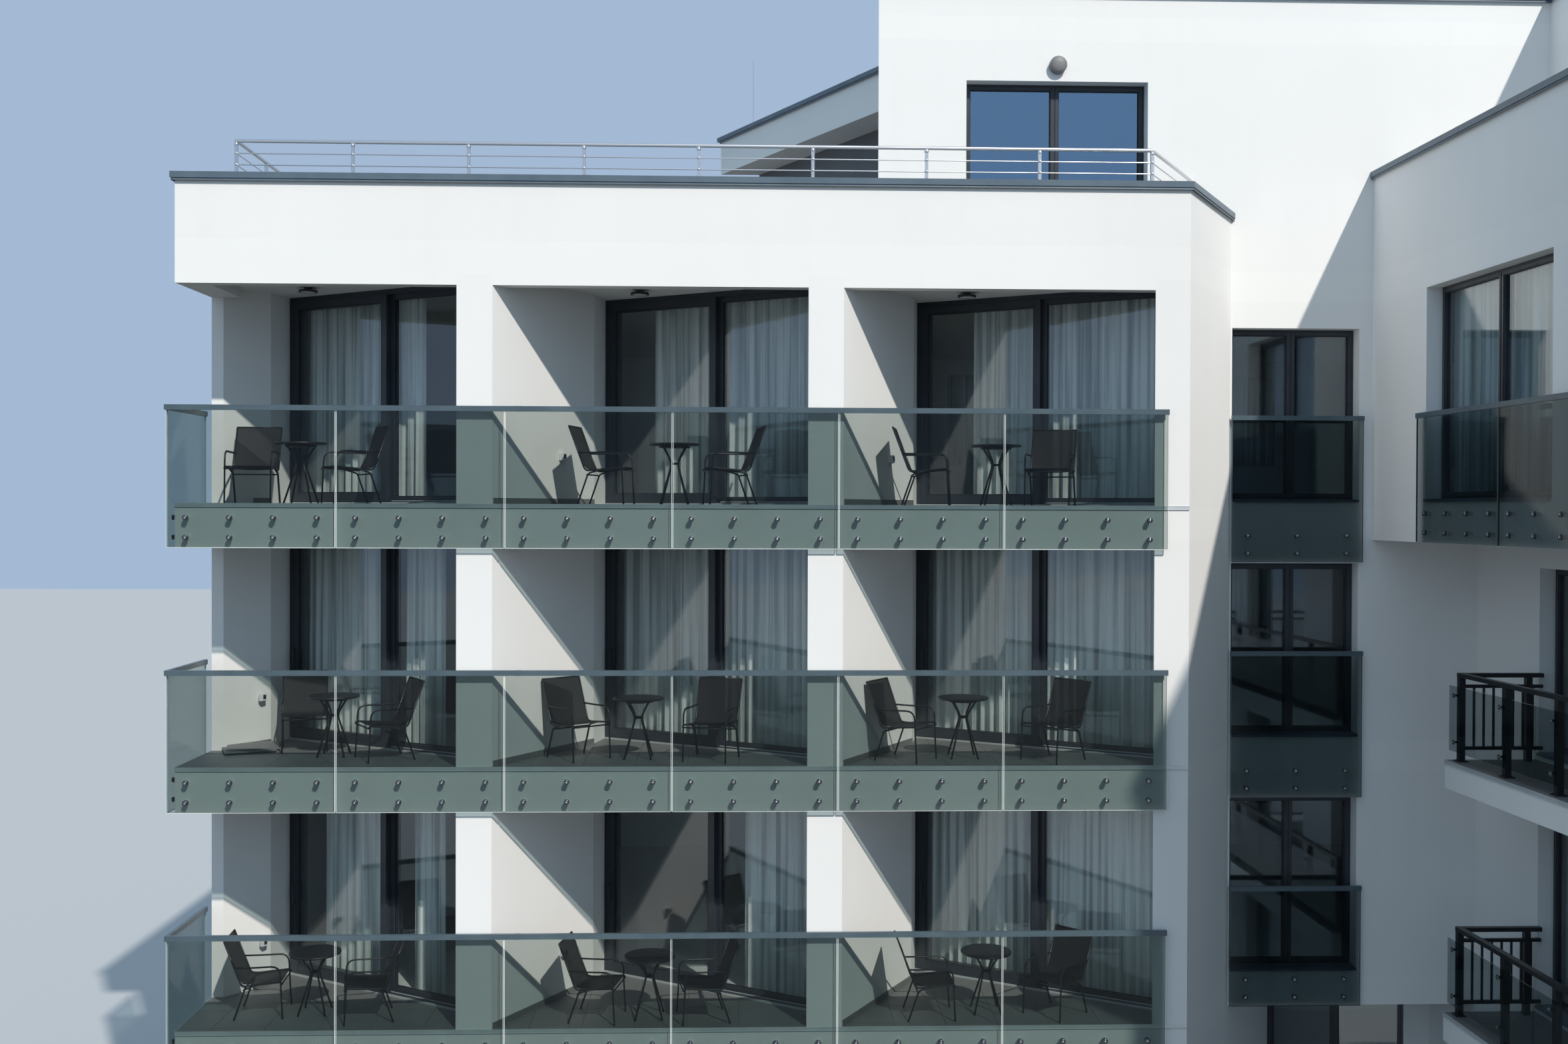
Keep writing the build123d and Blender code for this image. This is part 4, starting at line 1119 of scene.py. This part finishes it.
def add_sockets():
    """Weatherproof sockets: a rounded box, its lifted lid and a dark window."""
    boxes, dark = shapes(2)
    for level, bay, along, up in SOCKETS:
        face = splay_face(level, STARTS[bay])
        block(boxes, face, about(along, 0.041), (0.0, 0.045), about(up, 0.048))
        block(boxes, face, about(along, 0.037), (0.046, 0.062), (up - 0.044, up + 0.050))
        block(dark, face, about(along, 0.022), (0.0605, 0.0635), (up - 0.020, up + 0.032))
    finished("socket_boxes", boxes, white_plastic, 0.006, 3)
    finished("socket_windows", dark, rubber, 0.001)


def add_spare_tiles():
    """A low stack of spare floor tiles at the left end of the middle balcony."""
    shape = bmesh.new()
    thick, gap, half = 0.02, 0.001, 0.298
    for n, (x, y, turn) in enumerate([(-5.28, -3.62, 14), (-5.34, -3.70, 22), (-5.30, -3.66, 17)]):
        face = Face(x, y, FLOORS[2] + TILE_THICK + n * (thick + gap), turn)
        block(shape, face, (-half, half), (-half, half), (0, thick))
    finished("spare_tiles", shape, dark_tile, 0.0015)


add_lamps()
add_sockets()
add_spare_tiles()

# Furniture by level and bay, from the bay's start and the front: chair with its turn, table, chair
FURNITURE = {
    (1, 0): [(1.27, 0.65, 5), (1.84, 0.64), (2.47, 0.44, -166)],
    (1, 1): [(1.21, 0.37, -10), (1.78, 0.40), (2.37, 0.34, -170)],
    (1, 2): [(1.10, 0.40, 0), (1.75, 0.51), (2.53, 0.40, -137)],
    (2, 0): [(1.55, 1.25, -75), (2.01, 0.82), (2.63, 0.57, -150)],
    (2, 1): [(0.95, 0.60, -50), (1.63, 0.60), (2.48, 0.45, -107)],
    (2, 2): [(0.81, 0.43, -33), (1.48, 0.61), (2.49, 0.40, -139)],
    (3, 0): [(1.05, 0.80, -85), (1.64, 0.76), (2.22, 0.62, -150)],
    (3, 1): [(1.28, 0.65, -10), (2.05, 0.60), (2.66, 0.50, -170)],
    (3, 2): [(1.07, 0.60, -10), (1.86, 0.60), (2.50, 0.59, -110)],
}
SEAT_HALF = 0.26
SEAT_FRONT = Vector((0.225, 0, 0.43))
SEAT_BACK = Vector((-0.225, 0, 0.39))
BACK_TOP = Vector((-0.424, 0, 0.918))
ARM_HEIGHT = 0.605
SEAT_LENGTH = (SEAT_BACK - SEAT_FRONT).length
SLING_LENGTH = SEAT_LENGTH + (BACK_TOP - SEAT_BACK).length
SLING_HALF = SEAT_HALF - 0.004


def seat_line(share):
    """The sling's side line from the seat's front over the bend to the top of the back."""
    bend = SEAT_LENGTH / SLING_LENGTH
    if share < bend:
        return SEAT_FRONT.lerp(SEAT_BACK, share / bend)
    return SEAT_BACK.lerp(BACK_TOP, (share - bend) / (1 - bend))


def chair_frame(shape, turn):
    """The tubes of one chair: arms bent from the front legs, rear legs, rails and crossbars."""
    arm_end = SEAT_BACK.lerp(BACK_TOP, (ARM_HEIGHT - SEAT_BACK.z) / (BACK_TOP.z - SEAT_BACK.z))
    arm = [(0.235, 0, 0), (0.215, 0, 0.34), (0.205, 0, ARM_HEIGHT + 0.01), (-0.05, 0, ARM_HEIGHT)]
    arm.append(arm_end)
    rail = [SEAT_FRONT + Vector((0.004, 0, -0.03)), SEAT_FRONT, SEAT_BACK, BACK_TOP]
    leg = [SEAT_FRONT.lerp(SEAT_BACK, 0.55), SEAT_BACK + Vector((0.035, 0, -0.03)), (-0.315, 0, 0)]
    lines = [(arm, 0.11, 0.0125, 0.8), (rail, 0.05, 0.011, 1.0), (leg, 0.03, 0.0125, 0.8)]
    for side in (-SEAT_HALF, SEAT_HALF):
        across = Vector((0, side, 0))
        for line, bend, radius, flat in lines:
            tube(shape, [turn @ (p + across) for p in rounded(line, bend)], radius, 10, flat)
    bars = [BACK_TOP, SEAT_FRONT + Vector((0.002, 0, -0.028)), SEAT_BACK + Vector((0.02, 0, -0.045))]
    for bar in bars:
        ends = [bar + Vector((0, side, 0)) for side in (-SEAT_HALF, SEAT_HALF)]
        tube(shape, [turn @ p for p in ends], 0.009)


def chair_sling(name, turn):
    """The cloth of one chair, hung between its rails and sagging a little, with its own UV in metres."""
    shape = bmesh.new()
    uv = shape.loops.layers.uv.new("cloth")
    rows, columns = 24, 8
    bend, bend_reach, deepest = 0.42, 0.12, 0.018
    lift = Vector((0, 0, 0.008))
    grid = []
    for row in range(rows + 1):
        share = row / rows
        ease = 1 - min(abs(share - bend) / bend_reach, 1.0)
        grid.append([])
        for column in range(columns + 1):
            across = (column / columns - 0.5) * 2 * SLING_HALF
            sag = deepest * (1 - (across / SEAT_HALF) ** 2) * math.sin(math.pi * share)
            point = seat_line(share) + Vector((0.02 * ease, across, 0.012 * ease))
            point += Vector((-0.35 * sag, 0, -sag)) if share < bend else Vector((-sag, 0, -0.3 * sag))
            grid[-1].append(turn @ (point + lift))
    cloth_area = woven(shape, grid)
    shape.verts.index_update()
    for loop in [loop for face in shape.faces for loop in face.loops]:
        row, column = divmod(loop.vert.index, columns + 1)
        loop[uv].uv = (column / columns * 2 * SEAT_HALF, row / rows * SLING_LENGTH)
    piece = finished(name, shape, sling, smooth=True)


def table_parts(tops, legs, place):
    """One round table: a top with an eased rim, a ring, and four legs drawn in to a waist."""
    top = [(0.292, 0.0), (0.299, 0.004), (0.300, 0.018), (0.294, 0.025), (0.275, 0.0255)]
    lathed(tops, place @ Vector((0, 0, 0.695)), UP, top, 48)
    lathed(legs, place @ Vector((0, 0, 0.667)), UP, [(0.18, 0.0), (0.185, 0.014), (0.18, 0.028)], 32)
    lathed(legs, place @ Vector((0, 0, 0.47)), UP, [(0.05, 0.0), (0.056, 0.012), (0.05, 0.024)], 20)
    for n in range(4):
        turn = math.radians(45 + 90 * n)
        spoke = Vector((math.cos(turn), math.sin(turn), 0))
        leg = [spoke * 0.18 + UP * 0.675, spoke * 0.045 + UP * 0.49, spoke * 0.225]
        tube(legs, [place @ p for p in rounded(leg, 0.07, 5)], 0.0115, 10)


def add_furniture():
    """All chairs and tables, which stand for the plain ones of the part."""
    frames, tops, legs = shapes(3)
    turns = []
    for (level, bay), (left, centre, right) in FURNITURE.items():
        floor = FLOORS[level] + TILE_THICK
        for n, (x, y, angle) in enumerate((left, right)):
            spot = Matrix.Translation((STARTS[bay] + x, FRONT + y, floor))
            turn = spot @ Matrix.Rotation(math.radians(angle), 4, "Z")
            chair_frame(frames, turn)
            turns.append((f"chair_sling_{level}_{bay}_{n}", turn))
        table_parts(tops, legs, Matrix.Translation((STARTS[bay] + centre[0], FRONT + centre[1], floor)))
    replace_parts(finished("chair_frames", frames, black_metal, smooth=True), "balcony_chairs")
    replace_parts(finished("table_tops", tops, black_metal, smooth=True), "balcony_tables")
    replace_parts(finished("table_legs", legs, black_metal, smooth=True), "balcony_tables")
    for name, turn in turns:
        chair_sling(name, turn)


add_furniture()

# Camera, with its focal length in the photograph's pixels
CAMERA_PLACE = (0.538658, -22.4459, 9.11117)
YAW, PITCH, ROLL = 0.0322173907, -0.00839476337, 0.00311115319
FOCAL_LENGTH = 2300
IMAGE_WIDTH = 2354
SENSOR_WIDTH = 36


def add_camera():
    """The photograph's own view."""
    data = bpy.data.cameras.new("camera")
    camera = bpy.data.objects.new("camera", data)
    bpy.context.collection.objects.link(camera)
    forward = Vector(
        (math.sin(YAW) * math.cos(PITCH), math.cos(YAW) * math.cos(PITCH), math.sin(PITCH))
    )
    level = Vector((math.cos(YAW), -math.sin(YAW), 0))
    upright = level.cross(forward)
    right = math.cos(ROLL) * level + math.sin(ROLL) * upright
    up = -math.sin(ROLL) * level + math.cos(ROLL) * upright
    turn = Matrix((right, up, -forward)).transposed()
    camera.matrix_world = Matrix.Translation(CAMERA_PLACE) @ turn.to_4x4()
    data.sensor_width = SENSOR_WIDTH
    data.lens = SENSOR_WIDTH * FOCAL_LENGTH / IMAGE_WIDTH
    data.clip_end = 400
    bpy.context.scene.camera = camera


# Stage and light
def stage_finish(name, seen, lit):
    """Pale ground to look at, which throws little light back on the block."""
    finish = new_finish(name)
    colour = finish.mixed(finish.seen_rays(), lit, seen)
    finish.feed(finish.shader, {"Base Color": colour, "Roughness": 0.9})
    return finish.owner


def add_floor():
    """A wide pale floor."""
    half = 150
    mesh = bpy.data.meshes.new("floor")
    corners = [(-half, -half, 0), (half, -half, 0), (half, half, 0), (-half, half, 0)]
    mesh.from_pydata(corners, [], [(0, 1, 2, 3)])
    floor = bpy.data.objects.new("floor", mesh)
    floor.location.z = -0.004
    mesh.materials.append(stage_finish("floor_pale", (0.40, 0.413, 0.425), (0.11, 0.105, 0.095)))
    bpy.context.collection.objects.link(floor)


def add_world():
    """An even soft sky for the fill and a pale blue ground behind the block."""
    sky = Finish(bpy.data.worlds.new("studio"))
    bpy.context.scene.world = sky.owner
    fill = sky.tree.nodes["Background"]
    sky.feed(fill, {"Color": (0.58, 0.79, 1.0), "Strength": 0.76})
    seen = sky.node("Background", {"Color": (0.37, 0.49, 0.66), "Strength": 1.0})
    sky.surface("World Output", sky.seen_rays(), fill, seen)


def add_sun(name, travel, strength, angle, colour):
    """A soft distant lamp whose light travels along a direction."""
    data = bpy.data.lights.new(name, "SUN")
    data.energy = strength
    data.angle = math.radians(angle)
    data.color = colour
    lamp = bpy.data.objects.new(name, data)
    lamp.rotation_euler = Vector(travel).to_track_quat("-Z", "Y").to_euler()
    bpy.context.collection.objects.link(lamp)


add_camera()
add_floor()
add_world()
add_sun("key", travel=(-0.472, 1.0, -1.007), strength=3.6, angle=1.0, colour=(1.0, 0.94, 0.855))

scene = bpy.context.scene
scene.view_settings.view_transform = "Standard"
